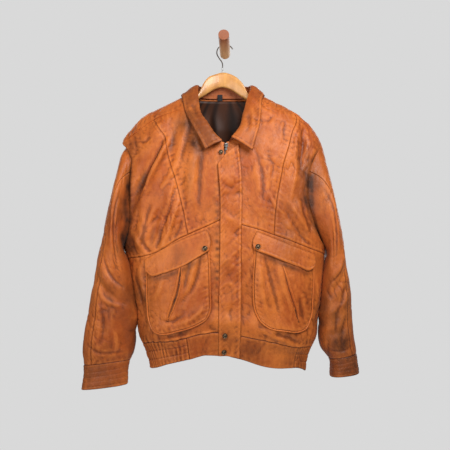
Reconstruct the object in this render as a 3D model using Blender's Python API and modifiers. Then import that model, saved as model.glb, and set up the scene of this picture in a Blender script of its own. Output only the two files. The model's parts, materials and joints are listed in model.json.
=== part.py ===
"""Worn tan leather jacket on a contoured wooden hanger, hung from a wooden wall peg.

Metres, +Z up, +X to the right as seen from the front, and the front faces -Y. The origin is
the middle of the peg's flat wall end, and the wall is the plane Y = 0. "left" and "right" in
names are as seen from the front.

The body of the jacket is one smooth skin around the hanger, read by an angle round the body
and a height. Every panel is a patch of that skin between its own seam lines, and every
pocket, flap and facing is made from the same points, moved out or in.
"""
import math

import bmesh
import bpy
import numpy as np
from mathutils import Matrix, Vector
from mathutils.bvhtree import BVHTree

# Driving dimensions
LEATHER = 0.0020
SEAM_GAP = 0.0003
LAY_GAP = 0.0008
CUFF_LEATHER = 0.0030
LINING = 0.0010
PEG_RADIUS = 0.0130
PEG_LENGTH = 0.1200
PEG_TILT = math.radians(10)
PEG_LEAN = math.radians(1.5)
WIRE_RADIUS = 0.0015
HANGER_HALF_THICKNESS = 0.0070
PIPING_RADIUS = 0.0014
SNAP_RADIUS = 0.0058
SNAP_HEIGHT = 0.0030
STUD_GAP = 0.0004
SMALL_SNAP_SCALE = 0.85
WIDTH_POWER = 2.6
DEPTH_POWER = 2.1
SLEEVE_POWER = 2.3

# Grid of the panels: cells across and down
CENTRE_COLUMNS = 7
SIDE_COLUMNS = 9
ARMHOLE_ROWS = 13
FRONT_ROWS = ARMHOLE_ROWS + 1
BACK_ARMHOLE_ROWS = 10
LOWER_ROWS = 10
BACK_LOWER_ROWS = 8
BACK_COLUMNS = 14
SLEEVE_ROWS = 15
UPPER_SLEEVE_FIRST = 4
UPPER_SLEEVE_LAST = 20
GATHERS = 16

SIDES = {"left": -1.0, "right": 1.0}


class Track:
    """A smooth line through stations (t, value, ...), read at any t."""

    def __init__(self, *stations):
        table = np.array(sorted(stations), float)
        self.t, self.v = table[:, 0], table[:, 1:]
        step = np.diff(self.t)[:, None]
        slope = np.diff(self.v, axis=0) / step
        inner = (step[1:] * slope[:-1] + step[:-1] * slope[1:]) / (step[1:] + step[:-1])
        self.m = np.vstack([slope[:1], inner, slope[-1:]])

    def __call__(self, t):
        t = np.clip(np.asarray(t, float), self.t[0], self.t[-1])
        i = np.clip(np.searchsorted(self.t, t, side="right") - 1, 0, len(self.t) - 2)
        width = self.t[i + 1] - self.t[i]
        u = ((t - self.t[i]) / width)[..., None]
        width = width[..., None]
        value = ((1 + 2 * u) * (1 - u) ** 2 * self.v[i] + u * (1 - u) ** 2 * width * self.m[i]
                 + u * u * (3 - 2 * u) * self.v[i + 1] + u * u * (u - 1) * width * self.m[i + 1])
        return value[..., 0] if value.shape[-1] == 1 else value


def path(*points):
    """A smooth line through points, read from 0 at the first to 1 at the last."""
    points = np.array(points, float)
    run = np.concatenate([[0], np.cumsum(np.linalg.norm(np.diff(points, axis=0), axis=1))])
    return Track(*[(t, *p) for t, p in zip(run / run[-1], points)])


def power(value, exponent):
    return np.sign(value) * np.abs(value) ** exponent


def unit(vectors):
    return vectors / np.linalg.norm(vectors, axis=-1, keepdims=True)


# The jacket's outline: half widths and depths at each height
HALF_WIDTH = {
    "left": Track((-0.085, 0.030), (-0.100, 0.060), (-0.110, 0.080), (-0.120, 0.100),
                  (-0.135, 0.127), (-0.150, 0.157), (-0.164, 0.186), (-0.179, 0.208),
                  (-0.194, 0.221), (-0.208, 0.233), (-0.223, 0.240), (-0.240, 0.244),
                  (-0.300, 0.245), (-0.400, 0.245), (-0.450, 0.247), (-0.490, 0.247),
                  (-0.520, 0.236), (-0.567, 0.2275), (-0.620, 0.2195), (-0.662, 0.214),
                  (-0.706, 0.204), (-0.750, 0.190), (-0.779, 0.1825), (-0.810, 0.180)),
    "right": Track((-0.085, 0.026), (-0.100, 0.054), (-0.110, 0.070), (-0.120, 0.088),
                   (-0.135, 0.122), (-0.150, 0.152), (-0.164, 0.178), (-0.179, 0.194),
                   (-0.194, 0.208), (-0.208, 0.218), (-0.223, 0.228), (-0.240, 0.236),
                   (-0.300, 0.240), (-0.400, 0.241), (-0.450, 0.242), (-0.490, 0.244),
                   (-0.511, 0.241), (-0.560, 0.2365), (-0.604, 0.2335), (-0.660, 0.227),
                   (-0.700, 0.220), (-0.720, 0.214), (-0.735, 0.207), (-0.764, 0.1995),
                   (-0.791, 0.197), (-0.820, 0.194)),
}
MIDDLE = Track((-0.08, -0.080), (-0.25, -0.080), (-0.40, -0.085), (-0.60, -0.086), (-0.85, -0.086))
DEPTH_FRONT = Track((-0.08, 0.016), (-0.10, 0.020), (-0.12, 0.030), (-0.15, 0.045), (-0.20, 0.061),
                    (-0.25, 0.070), (-0.35, 0.076), (-0.45, 0.079), (-0.62, 0.081),
                    (-0.70, 0.078), (-0.74, 0.070), (-0.80, 0.066))
DEPTH_BACK = Track((-0.08, 0.042), (-0.10, 0.046), (-0.12, 0.050), (-0.15, 0.057), (-0.20, 0.064),
                   (-0.25, 0.068), (-0.35, 0.074), (-0.45, 0.078), (-0.62, 0.079),
                   (-0.70, 0.077), (-0.74, 0.070), (-0.80, 0.066))

# Waistband edges by angle in degrees: 0 is the centre front, 180 the centre back
HEM = Track((-180, -0.762), (-135, -0.768), (-90, -0.782), (-59, -0.777), (-42, -0.767),
            (-20, -0.753), (-8, -0.743), (0, -0.745), (6, -0.752), (17, -0.766), (60, -0.779),
            (90, -0.790), (135, -0.772), (180, -0.762))
BAND_TOP = Track((-180, -0.705), (-135, -0.712), (-90, -0.723), (-57, -0.715), (-26, -0.706),
                 (-11, -0.692), (-2, -0.687), (7, -0.697), (24, -0.711), (46, -0.726),
                 (67, -0.728), (90, -0.731), (135, -0.714), (180, -0.705))
BLOUSE_HEIGHT = 0.0045
BLOUSE_REACH = 0.026

# Folds in the front, as lines of (x, z) with a half width and a height out of the skin
FRONT_FOLDS = [
    (0.013, 0.0120, [(-0.137, -0.243), (-0.155, -0.276), (-0.180, -0.322), (-0.208, -0.385)]),
    (0.012, -0.0100, [(-0.158, -0.250), (-0.176, -0.283), (-0.198, -0.330), (-0.222, -0.400)]),
    (0.014, -0.0060, [(-0.108, -0.185), (-0.122, -0.225), (-0.128, -0.262), (-0.142, -0.290)]),
    (0.016, 0.0050, [(-0.142, -0.178), (-0.160, -0.205), (-0.166, -0.232)]),
    (0.014, 0.0050, [(-0.075, -0.250), (-0.082, -0.320), (-0.070, -0.400)]),
    (0.012, -0.0045, [(-0.100, -0.290), (-0.106, -0.345), (-0.098, -0.410)]),
    (0.012, 0.0055, [(-0.135, -0.330), (-0.128, -0.385), (-0.132, -0.440)]),
    (0.010, -0.0070, [(-0.150, -0.395), (-0.165, -0.430), (-0.170, -0.458), (-0.180, -0.490)]),
    (0.012, 0.0070, [(-0.190, -0.420), (-0.196, -0.455), (-0.210, -0.487)]),
    (0.011, 0.0050, [(0.176, -0.196), (0.168, -0.235), (0.163, -0.292)]),
    (0.010, -0.0050, [(0.188, -0.206), (0.186, -0.245), (0.180, -0.300)]),
    (0.014, 0.0040, [(0.090, -0.290), (0.085, -0.350), (0.092, -0.420)]),
    (0.016, -0.0040, [(0.128, -0.300), (0.136, -0.370), (0.150, -0.440)]),
    (0.016, 0.0050, [(0.170, -0.380), (0.186, -0.430), (0.205, -0.480)]),
]
# Folds in the back, which the photograph does not show
BACK_FOLDS = [
    (0.020, 0.0050, [(-0.150, -0.250), (-0.165, -0.330), (-0.185, -0.430)]),
    (0.020, 0.0050, [(0.150, -0.255), (0.168, -0.335), (0.185, -0.430)]),
    (0.022, -0.0050, [(-0.110, -0.300), (-0.120, -0.400), (-0.110, -0.500)]),
    (0.022, -0.0050, [(0.112, -0.310), (0.120, -0.410), (0.116, -0.520)]),
    (0.024, 0.0035, [(-0.040, -0.480), (-0.046, -0.580), (-0.038, -0.670)]),
    (0.024, 0.0035, [(0.055, -0.500), (0.050, -0.590), (0.060, -0.680)]),
    (0.020, -0.0040, [(0.170, -0.560), (0.160, -0.620), (0.165, -0.680)]),
    (0.020, -0.0040, [(-0.165, -0.540), (-0.158, -0.610), (-0.160, -0.670)]),
]
FOLD_SAMPLES = 28


def fold_table(folds):
    """Each fold as finely spaced points along its line, fading at both ends."""
    table = []
    for width, height, line in folds:
        t = np.linspace(0, 1, FOLD_SAMPLES)
        fade = np.sin(np.pi * np.clip(t, 0.02, 0.98)) ** 0.6
        table.append((width, height, path(*line)(t), fade))
    return table


FRONT_TABLE = fold_table(FRONT_FOLDS)
BACK_TABLE = fold_table(BACK_FOLDS)


def fold_height(x, z, table):
    total = np.zeros(np.shape(x))
    for width, height, points, fade in table:
        apart = (x[..., None] - points[:, 0]) ** 2 + (z[..., None] - points[:, 1]) ** 2
        total += height * np.max(fade * np.exp(-apart / width ** 2), axis=-1)
    return total


def half_width(z, right):
    return np.where(right, HALF_WIDTH["right"](z), HALF_WIDTH["left"](z))


def smooth_skin(a, z):
    """The jacket's skin without its folds, at an angle a (radians, 0 = centre front)."""
    s, c = np.sin(a), np.cos(a)
    x = half_width(z, s >= 0) * power(s, 2 / WIDTH_POWER)
    depth = np.where(c > 0, DEPTH_FRONT(z), DEPTH_BACK(z))
    return np.stack([x, MIDDLE(z) - depth * power(c, 2 / DEPTH_POWER), z], axis=-1)


def outward(surface, u, v, reach=0.0005):
    across = surface(u + reach * 4, v) - surface(u - reach * 4, v)
    up = surface(u, v + reach) - surface(u, v - reach)
    return unit(np.cross(across, up))


def blouse(a, z):
    """How far the body swells over the waistband."""
    above = z - BAND_TOP(np.degrees((a + np.pi) % (2 * np.pi) - np.pi))
    return BLOUSE_HEIGHT * np.exp(-((above - BLOUSE_REACH) / BLOUSE_REACH) ** 2)


def folded_skin(a, z):
    base = smooth_skin(a, z)
    facing = np.clip(np.cos(a) * 4, -1, 1)
    rise = (np.clip(facing, 0, 1) * fold_height(base[..., 0], z, FRONT_TABLE)
            + np.clip(-facing, 0, 1) * fold_height(base[..., 0], z, BACK_TABLE)
            + blouse(a, z))
    return base + outward(smooth_skin, a, z) * rise[..., None]


def skin(a, z, lift=0.0):
    """A point of the folded skin, moved out by lift, and the way out there."""
    out = outward(folded_skin, a, z)
    return folded_skin(a, z) + out * np.asarray(lift)[..., None], out


def front_angle(x, z):
    """The angle whose point of the front lies at x."""
    share = np.clip(np.abs(x) / half_width(z, x >= 0), 0, 1)
    return np.sign(x) * np.arcsin(share ** (WIDTH_POWER / 2))


def seam(*points):
    """A smooth line through (angle, height) points, read by its length along the skin."""
    points = np.array(points, float)
    places = smooth_skin(points[:, 0], points[:, 1])
    run = np.concatenate([[0], np.cumsum(np.linalg.norm(np.diff(places, axis=0), axis=1))])
    return Track(*[(t, *p) for t, p in zip(run / run[-1], points)])


def on_front(side, points):
    """(x, z) points of one front, x counted from the centre, as angles and heights."""
    x, z = np.array(points, float).T
    return list(zip(front_angle(SIDES[side] * x, z), z))


# Seam lines of each front, as (x, z) with x away from the centre, and armholes as
# (degrees, z) round the side, 90 being the widest point
SHOULDER_TIP = {"left": -0.238, "right": -0.240}
UNDERARM = -0.494
YOKE_AT_SIDE = {"left": -0.518, "right": -0.512}
PANEL_TOP = {"left": 0.48, "right": 0.49}
CENTRE_GAP = 0.0024
V_BOTTOM = -0.2400
YOKE_CENTRE = {"left": -0.4210, "right": -0.4260}
SHOULDER_SEAM = {
    "left": [(0.079, -0.146), (0.125, -0.164), (0.173, -0.184), (0.205, -0.203), (0.228, -0.222)],
    "right": [(0.077, -0.145), (0.122, -0.1585), (0.165, -0.165), (0.195, -0.187),
              (0.218, -0.213)],
}
NECKLINE = {
    "left": [(0.030, -0.226), (0.050, -0.203), (0.066, -0.176)],
    "right": [(0.032, -0.224), (0.050, -0.200), (0.064, -0.174)],
}
PANEL_SEAM = {
    "left": [(0.143, -0.226), (0.139, -0.250), (0.132, -0.283), (0.120, -0.318), (0.104, -0.380)],
    "right": [(0.161, -0.212), (0.148, -0.260), (0.140, -0.285), (0.132, -0.330), (0.121, -0.390)],
}
YOKE_AT_PANEL = {"left": (0.0870, -0.4580), "right": (0.1160, -0.4590)}
YOKE = {
    "left": [(0.042, -0.438)],
    "right": [(0.042, -0.436), (0.075, -0.445)],
}
YOKE_OUTER = {
    "left": [(0.1055, -0.4660), (0.160, -0.499), (0.195, -0.510)],
    "right": [(0.145, -0.4690), (0.215, -0.4960)],
}
ARMHOLE_FRONT = {
    "left": [(90, -0.238), (74, -0.250), (67, -0.275), (68, -0.310), (70, -0.350), (70, -0.390),
             (68, -0.425), (71, -0.460), (79, -0.484), (90, UNDERARM)],
    "right": [(90, -0.240), (70, -0.256), (59, -0.285), (53, -0.325), (52, -0.360), (54, -0.395),
              (59, -0.425), (66, -0.455), (76, -0.482), (90, UNDERARM)],
}
ARMHOLE_BACK = [(110, -0.255), (120, -0.295), (123, -0.350), (121, -0.400), (114, -0.450),
                (103, -0.483)]


def degree_line(side, *points):
    """A line through (degrees, z) points on one side of the body."""
    return seam(*[(SIDES[side] * math.radians(a), z) for a, z in points])


def joined(*parts):
    """Lines end to end, each over its own share of 0 to 1: (share, line), ..."""
    ends = np.cumsum([0] + [share for share, _ in parts])

    def read(t):
        t = np.asarray(t, float)
        result = np.zeros(t.shape + (2,))
        for (share, line), start in zip(parts, ends[:-1]):
            local = np.clip((t - start) / share, 0, 1)
            chosen = (t >= start - 1e-9)[..., None]
            result = np.where(chosen, line(local), result)
        return result
    return read


def piece_of(line, start, end):
    return lambda t: line(start + (end - start) * np.asarray(t, float))


def patch(top, bottom, left, right, rows, columns):
    """Angles and heights of a four-sided patch between its boundary lines."""
    u = np.linspace(0, 1, columns + 1)[None, :, None]
    v = np.linspace(0, 1, rows + 1)[:, None, None]
    t, b = top(u[0, :, 0])[None], bottom(u[0, :, 0])[None]
    l, r = left(v[:, 0, 0])[:, None], right(v[:, 0, 0])[:, None]
    corners = ((1 - u) * (1 - v) * t[:, :1] + u * (1 - v) * t[:, -1:]
               + (1 - u) * v * b[:, :1] + u * v * b[:, -1:])
    grid = (1 - v) * t + v * b + (1 - u) * l + u * r - corners
    return grid[..., 0], grid[..., 1]


# Meshes
def material(name, colour, roughness, metallic=0.0):
    made = bpy.data.materials.get(name) or bpy.data.materials.new(name)
    made.use_nodes = True
    shader = made.node_tree.nodes["Principled BSDF"]
    shader.inputs["Base Color"].default_value = (*colour, 1)
    shader.inputs["Roughness"].default_value = roughness
    shader.inputs["Metallic"].default_value = metallic
    return made


def leather():
    return material("tan leather", (0.60, 0.16, 0.045), 0.45)


def dark_satin():
    return material("dark brown satin", (0.045, 0.018, 0.010), 0.40)


def black_tape():
    return material("black woven tape", (0.012, 0.012, 0.014), 0.80)


def hanger_wood():
    return material("light varnished wood", (0.78, 0.46, 0.17), 0.35)


def peg_wood():
    return material("reddish oiled wood", (0.50, 0.19, 0.075), 0.50)


def bright_steel():
    return material("bright steel", (0.62, 0.62, 0.60), 0.25, 1.0)


def dark_brass():
    return material("dark antique brass", (0.10, 0.065, 0.040), 0.35, 1.0)


def finish(name, mesh, made, flat=False):
    """A named object with its material and faces that point out."""
    work = bmesh.new()
    work.from_mesh(mesh)
    bmesh.ops.recalc_face_normals(work, faces=work.faces)
    work.to_mesh(mesh)
    work.free()
    mesh.materials.clear()
    mesh.materials.append(made)
    if not flat:
        mesh.shade_smooth()
        mesh.set_sharp_from_angle(angle=math.radians(45))
    thing = bpy.data.objects.new(name, mesh)
    bpy.data.collections["worn leather jacket"].objects.link(thing)
    return thing


def wall(name, outer, out, thickness, made, ring=False, gap=SEAM_GAP):
    """A closed cloth wall lofted through a grid of outer points and the same moved inward."""
    outer = np.array(outer, float)
    for edge, inside in ((0, 1), (-1, -2)):
        step = unit(outer[inside] - outer[edge]) * gap / 2
        outer[edge] += step
        if not ring:
            step = unit(outer[:, inside] - outer[:, edge]) * gap / 2
            outer[:, edge] += step
    inner = outer - out * thickness
    rows, columns = outer.shape[:2]
    points = np.concatenate([outer.reshape(-1, 3), inner.reshape(-1, 3)])
    lower = rows * columns

    def at(i, j, layer):
        return layer * lower + i * columns + j % columns

    faces = []
    wraps = columns if ring else columns - 1
    for i in range(rows - 1):
        for j in range(wraps):
            quad = [(i, j), (i + 1, j), (i + 1, j + 1), (i, j + 1)]
            for layer in (0, 1):
                a, b, c, d = [at(*corner, layer) for corner in quad]
                faces += [(a, b, c), (a, c, d)] if layer == 0 else [(c, b, a), (d, c, a)]
    for i in (0, rows - 1):
        for j in range(wraps):
            faces.append((at(i, j, 0), at(i, j + 1, 0), at(i, j + 1, 1), at(i, j, 1)))
    if not ring:
        for j in (0, columns - 1):
            for i in range(rows - 1):
                faces.append((at(i, j, 0), at(i + 1, j, 0), at(i + 1, j, 1), at(i, j, 1)))
    mesh = bpy.data.meshes.new(name)
    mesh.from_pydata([tuple(p) for p in points], [], faces)
    return finish(name, mesh, made)


def skin_wall(name, angles, heights, lift=0.0, thickness=LEATHER, made=None):
    """A wall on the skin; lift is to the side that lies on what is below it."""
    top, out = skin(angles, heights, np.asarray(lift) + (thickness if np.any(lift) else 0.0))
    return wall(name, top, out, thickness, made or leather())


# Body
def shoulder_line(side):
    """The shoulder seam from the neck to the tip, in two runs that meet at the panel seam."""
    line = seam(*on_front(side, SHOULDER_SEAM[side]),
                (SIDES[side] * math.pi / 2, SHOULDER_TIP[side]))
    share = CENTRE_COLUMNS / (CENTRE_COLUMNS + SIDE_COLUMNS)
    return joined((share, piece_of(line, 0, PANEL_TOP[side])),
                  (1 - share, piece_of(line, PANEL_TOP[side], 1)))


def yoke_line(side):
    """The yoke seam from the centre to the side, in two runs that meet at the panel seam."""
    inner = seam(*on_front(side, [(CENTRE_GAP / 2, YOKE_CENTRE[side]), *YOKE[side],
                                  YOKE_AT_PANEL[side]]))
    outer = seam(*on_front(side, [YOKE_AT_PANEL[side], *YOKE_OUTER[side]]),
                 (SIDES[side] * math.pi / 2, YOKE_AT_SIDE[side]))
    return inner, outer


def panel_line(side):
    top = shoulder_line(side)(CENTRE_COLUMNS / (CENTRE_COLUMNS + SIDE_COLUMNS))
    return seam(top, *on_front(side, [*PANEL_SEAM[side], YOKE_AT_PANEL[side]]))


def centre_line(side, top, bottom):
    heights = np.linspace(top, bottom, 5)
    return seam(*on_front(side, [(CENTRE_GAP / 2, z) for z in heights]))


def neck_line(side):
    bottom = (CENTRE_GAP / 2, V_BOTTOM)
    return seam(shoulder_line(side)(0.0), *on_front(side, [*NECKLINE[side][::-1], bottom]))


def build_fronts():
    split = CENTRE_COLUMNS / (CENTRE_COLUMNS + SIDE_COLUMNS)
    for side in SIDES:
        shoulder, (yoke_in, yoke_out), panel = shoulder_line(side), yoke_line(side), panel_line(side)
        middle = centre_line(side, V_BOTTOM, YOKE_CENTRE[side])
        opening = joined((6 / FRONT_ROWS, neck_line(side)), (8 / FRONT_ROWS, middle))
        skin_wall(f"front_centre_{side}",
                  *patch(piece_of(shoulder, 0, split), yoke_in, opening, panel,
                         FRONT_ROWS, CENTRE_COLUMNS))
        under = degree_line(side, (90, UNDERARM), (90, YOKE_AT_SIDE[side]))
        armhole = joined((ARMHOLE_ROWS / FRONT_ROWS, degree_line(side, *ARMHOLE_FRONT[side])),
                         (1 / FRONT_ROWS, under))
        skin_wall(f"front_side_{side}",
                  *patch(piece_of(shoulder, split, 1), yoke_out, panel, armhole,
                         FRONT_ROWS, SIDE_COLUMNS))
        yoke = joined((split, yoke_in), (1 - split, yoke_out))
        floor = band_line(side, math.degrees(abs(middle(1.0)[0])), 90)
        side_seam = degree_line(side, (90, YOKE_AT_SIDE[side]), (90, float(floor(1.0)[1])))
        skin_wall(f"front_lower_{side}",
                  *patch(yoke, floor, centre_line(side, YOKE_CENTRE[side], float(floor(0.0)[1])),
                         side_seam, LOWER_ROWS, CENTRE_COLUMNS + SIDE_COLUMNS))


def band_line(side, first, last):
    """The seam over the waistband, between two angles in degrees."""
    def read(t):
        degrees = SIDES[side] * (first + (last - first) * np.asarray(t, float))
        return np.stack([np.radians(degrees), BAND_TOP(degrees)], axis=-1)
    return read


def turned(line):
    """The same line with its angles counted on past the centre back."""
    return lambda t: line(t) + np.array([2 * math.pi, 0])


def build_back():
    """The back, from the neck down, its flanks following shoulder, armhole and side seam."""
    shoulder = {side: shoulder_line(side) for side in SIDES}
    left_end = shoulder["left"](0.0) + np.array([2 * math.pi, 0])
    neck = seam(shoulder["right"](0.0), *[(math.radians(d), z) for d, z in BACK_NECK], left_end)
    over = CENTRE_COLUMNS + SIDE_COLUMNS
    rows = over + BACK_ARMHOLE_ROWS + BACK_LOWER_ROWS
    flanks = {}
    for side in SIDES:
        under = degree_line(side, (90, UNDERARM), (90, float(BAND_TOP(SIDES[side] * 90))))
        flanks[side] = joined((over / rows, shoulder[side]),
                              (BACK_ARMHOLE_ROWS / rows, back_armhole(side)),
                              (BACK_LOWER_ROWS / rows, under))

    def floor(t):
        degrees = 90 + 180 * np.asarray(t, float)
        wrapped = np.where(degrees > 180, degrees - 360, degrees)
        return np.stack([np.radians(degrees), BAND_TOP(wrapped)], axis=-1)

    skin_wall("back", *patch(neck, floor, flanks["right"], turned(flanks["left"]),
                             rows, BACK_COLUMNS))


BACK_NECK = [(45, -0.1275), (65, -0.1165), (90, -0.1125), (120, -0.1165), (150, -0.1205),
             (180, -0.1215), (210, -0.1205), (240, -0.1165), (270, -0.1115), (295, -0.1150),
             (315, -0.1260)]


def back_armhole(side):
    return degree_line(side, (90, SHOULDER_TIP[side]), *ARMHOLE_BACK, (90, UNDERARM))


# Sleeves: stations of (share, outer x, outer z, inner x, inner z, half depth)
SLEEVE = {
    "left": Track((0.00, 0.2440, -0.238, 0.2465, -0.497, 0.062),
                  (0.08, 0.2560, -0.272, 0.2500, -0.503, 0.063),
                  (0.16, 0.2650, -0.312, 0.2500, -0.508, 0.063),
                  (0.26, 0.2770, -0.365, 0.2470, -0.518, 0.062),
                  (0.36, 0.2905, -0.425, 0.2410, -0.534, 0.059),
                  (0.46, 0.3030, -0.486, 0.2355, -0.561, 0.055),
                  (0.56, 0.3150, -0.549, 0.2290, -0.597, 0.051),
                  (0.66, 0.3255, -0.604, 0.2225, -0.637, 0.047),
                  (0.76, 0.3340, -0.655, 0.2185, -0.676, 0.043),
                  (0.86, 0.3430, -0.700, 0.2185, -0.715, 0.039),
                  (0.94, 0.3475, -0.742, 0.2240, -0.743, 0.033),
                  (1.00, 0.3450, -0.777, 0.2320, -0.762, 0.027),
                  (1.12, 0.3505, -0.837, 0.2385, -0.823, 0.025)),
    "right": Track((0.00, 0.2360, -0.240, 0.2435, -0.497, 0.062),
                   (0.08, 0.2445, -0.272, 0.2480, -0.503, 0.063),
                   (0.16, 0.2540, -0.312, 0.2490, -0.509, 0.063),
                   (0.26, 0.2665, -0.365, 0.2475, -0.518, 0.062),
                   (0.36, 0.2790, -0.425, 0.2455, -0.531, 0.060),
                   (0.46, 0.2890, -0.485, 0.2430, -0.552, 0.057),
                   (0.56, 0.2975, -0.545, 0.2405, -0.585, 0.054),
                   (0.66, 0.3045, -0.600, 0.2370, -0.625, 0.051),
                   (0.76, 0.3080, -0.650, 0.2320, -0.662, 0.049),
                   (0.86, 0.3130, -0.700, 0.2275, -0.700, 0.047),
                   (0.94, 0.3185, -0.732, 0.2340, -0.735, 0.043),
                   (1.00, 0.3205, -0.747, 0.2520, -0.760, 0.040),
                   (1.12, 0.3265, -0.795, 0.2560, -0.804, 0.038)),
}
SLEEVE_MIDDLE = Track((0.0, -0.083), (0.4, -0.085), (0.8, -0.084), (1.12, -0.082))
HANG_IN = 0.24
CUFF_START = 1.0
CUFF_END = 1.12

# Folds of the sleeves as lines of (share, degrees round) with a half width and a height
SLEEVE_FOLDS = {
    "left": [(0.020, 0.0050, [(0.10, 62), (0.26, 74), (0.44, 96)]),
             (0.018, -0.0050, [(0.14, 92), (0.30, 100), (0.42, 118)]),
             (0.016, 0.0045, [(0.50, 40), (0.56, 84), (0.58, 128)]),
             (0.014, -0.0045, [(0.56, 44), (0.62, 88), (0.64, 132)]),
             (0.016, 0.0040, [(0.66, 60), (0.76, 88), (0.92, 100)]),
             (0.014, -0.0035, [(0.74, 120), (0.84, 128), (0.94, 130)]),
             (0.018, 0.0045, [(0.48, 230), (0.55, 270), (0.58, 310)]),
             (0.018, -0.0040, [(0.30, 250), (0.42, 262), (0.50, 280)])],
    "right": [(0.018, 0.0045, [(0.12, 60), (0.26, 66), (0.44, 84)]),
              (0.016, -0.0045, [(0.20, 100), (0.34, 104), (0.46, 112)]),
              (0.016, 0.0045, [(0.46, 50), (0.52, 86), (0.52, 124)]),
              (0.015, -0.0045, [(0.52, 44), (0.58, 84), (0.60, 120)]),
              (0.014, 0.0040, [(0.66, 50), (0.70, 84), (0.74, 130)]),
              (0.014, -0.0040, [(0.78, 60), (0.84, 90), (0.86, 124)]),
              (0.018, 0.0045, [(0.46, 230), (0.53, 268), (0.56, 308)]),
              (0.018, -0.0040, [(0.30, 252), (0.42, 264), (0.50, 282)])],
}
SLEEVE_LENGTH = 0.60
SLEEVE_GIRTH_SCALE = 0.0011


def sleeve_tube(side, share, turn):
    """A point of a sleeve: share runs from armhole to cuff, turn from the outer edge forward."""
    share, turn = np.broadcast_arrays(np.asarray(share, float), np.asarray(turn, float))
    s = SLEEVE[side](share)
    middle, half = (s[..., 0:2] + s[..., 2:4]) / 2, (s[..., 0:2] - s[..., 2:4]) / 2
    across = power(np.cos(turn), 2 / SLEEVE_POWER)
    place = middle + half * across[..., None]
    y = SLEEVE_MIDDLE(share) - s[..., 4] * power(np.sin(turn), 2 / SLEEVE_POWER)
    return np.stack([SIDES[side] * place[..., 0], y, place[..., 1]], axis=-1)


def sleeve_fold_height(side, share, turn):
    total = np.zeros(np.shape(share))
    along, around = share * SLEEVE_LENGTH, np.degrees(turn) * SLEEVE_GIRTH_SCALE
    t = np.linspace(0, 1, FOLD_SAMPLES)
    for width, height, line in SLEEVE_FOLDS[side]:
        points = path(*[(w * SLEEVE_LENGTH, d * SLEEVE_GIRTH_SCALE) for w, d in line])(t)
        fade = np.sin(np.pi * np.clip(t, 0.02, 0.98)) ** 0.6
        apart = (along[..., None] - points[:, 0]) ** 2 + (around[..., None] - points[:, 1]) ** 2
        total += height * np.max(fade * np.exp(-apart / width ** 2), axis=-1)
    return total


def armhole_loop(side):
    """Points of the armhole from the shoulder tip down the front and up the back."""
    front = degree_line(side, *ARMHOLE_FRONT[side])(np.linspace(0, 1, ARMHOLE_ROWS + 1))
    back = back_armhole(side)(np.linspace(1, 0, BACK_ARMHOLE_ROWS + 1))
    loop = np.concatenate([front[:-1], back[:-1]])
    return skin(loop[:, 0], loop[:, 1])


def sleeve_turns():
    front = np.linspace(0, math.pi, ARMHOLE_ROWS + 1)[:-1]
    back = np.linspace(math.pi, 2 * math.pi, BACK_ARMHOLE_ROWS + 1)[:-1]
    return np.concatenate([front, back])


def grid_normals(side, points):
    """The way out at each point of a tube's grid, from its neighbours."""
    around = np.roll(points, -1, axis=1) - np.roll(points, 1, axis=1)
    along = np.gradient(points, axis=0)
    return unit(np.cross(around, along)) * SIDES[side]


def sleeve_grid(side, shares):
    share, turn = np.meshgrid(shares, sleeve_turns(), indexing="ij")
    points = sleeve_tube(side, share, turn)
    loop, loop_out = armhole_loop(side)
    pull = np.clip(1 - share / HANG_IN, 0, 1) ** 2
    points += (loop - sleeve_tube(side, 0.0, sleeve_turns()))[None] * pull[..., None]
    out = grid_normals(side, points)
    settled = np.clip(share / HANG_IN, 0, 1)
    points += out * (sleeve_fold_height(side, share, turn) * settled)[..., None]
    out = grid_normals(side, points)
    if shares[0] == 0:
        turns_in = np.sum((points[1] - points[0]) * loop_out, axis=-1, keepdims=True) < 0
        out[0] = np.where(turns_in, loop_out, out[0])
    return points, out


def build_sleeves():
    for side in SIDES:
        shares = np.linspace(0, 1, SLEEVE_ROWS + 1) ** 1.15
        points, out = sleeve_grid(side, shares)
        size = points.shape[1]
        upper = [j % size for j in range(UPPER_SLEEVE_LAST, size + UPPER_SLEEVE_FIRST + 1)]
        under = list(range(UPPER_SLEEVE_FIRST, UPPER_SLEEVE_LAST + 1))
        wall(f"sleeve_upper_{side}", points[:, upper], out[:, upper], LEATHER, leather())
        wall(f"sleeve_under_{side}", points[:, under], out[:, under], LEATHER, leather())


def build_cuffs():
    for side in SIDES:
        shares = np.linspace(CUFF_START, CUFF_END, 2)
        points, out = sleeve_grid(side, shares)
        wall(f"cuff_{side}", points, out, CUFF_LEATHER, leather(), ring=True)


# Waistband, as (name, first degrees, last degrees) with gathers over the elastic
ELASTIC = {"left": (-20, -118), "right": (52, 140)}
GATHER_HEIGHT = 0.0013
BAND_GAP = 0.0010


def band_wall(name, first, last, columns, gathers=0):
    degrees = np.linspace(first, last, columns + 1)
    wrapped = (degrees + 180) % 360 - 180
    v = np.linspace(0, 1, 2 if gathers else 3)[:, None]
    heights = (BAND_TOP(wrapped) - BAND_GAP)[None] * (1 - v) + HEM(wrapped)[None] * v
    angles = np.radians(degrees)[None] + 0 * heights
    points, out = skin(angles, heights)
    if gathers:
        wave = np.cos(2 * math.pi * gathers * np.linspace(0, 1, columns + 1))
        fade = np.minimum(1, np.linspace(0, gathers, columns + 1))
        fade = np.minimum(fade, fade[::-1])
        points = points + out * (GATHER_HEIGHT * (wave - 1) * fade)[None, :, None]
    wall(name, points, out, LEATHER, leather())


def build_waistband():
    start = 1.5
    band_wall("waistband_front_left", -start, ELASTIC["left"][0], 4)
    band_wall("waistband_front_right", start, ELASTIC["right"][0], 7)
    for side in SIDES:
        band_wall(f"waistband_elastic_{side}", *ELASTIC[side], 4 * GATHERS, GATHERS)
    band_wall("waistband_back", ELASTIC["right"][1], 360 + ELASTIC["left"][1], 12)


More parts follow.
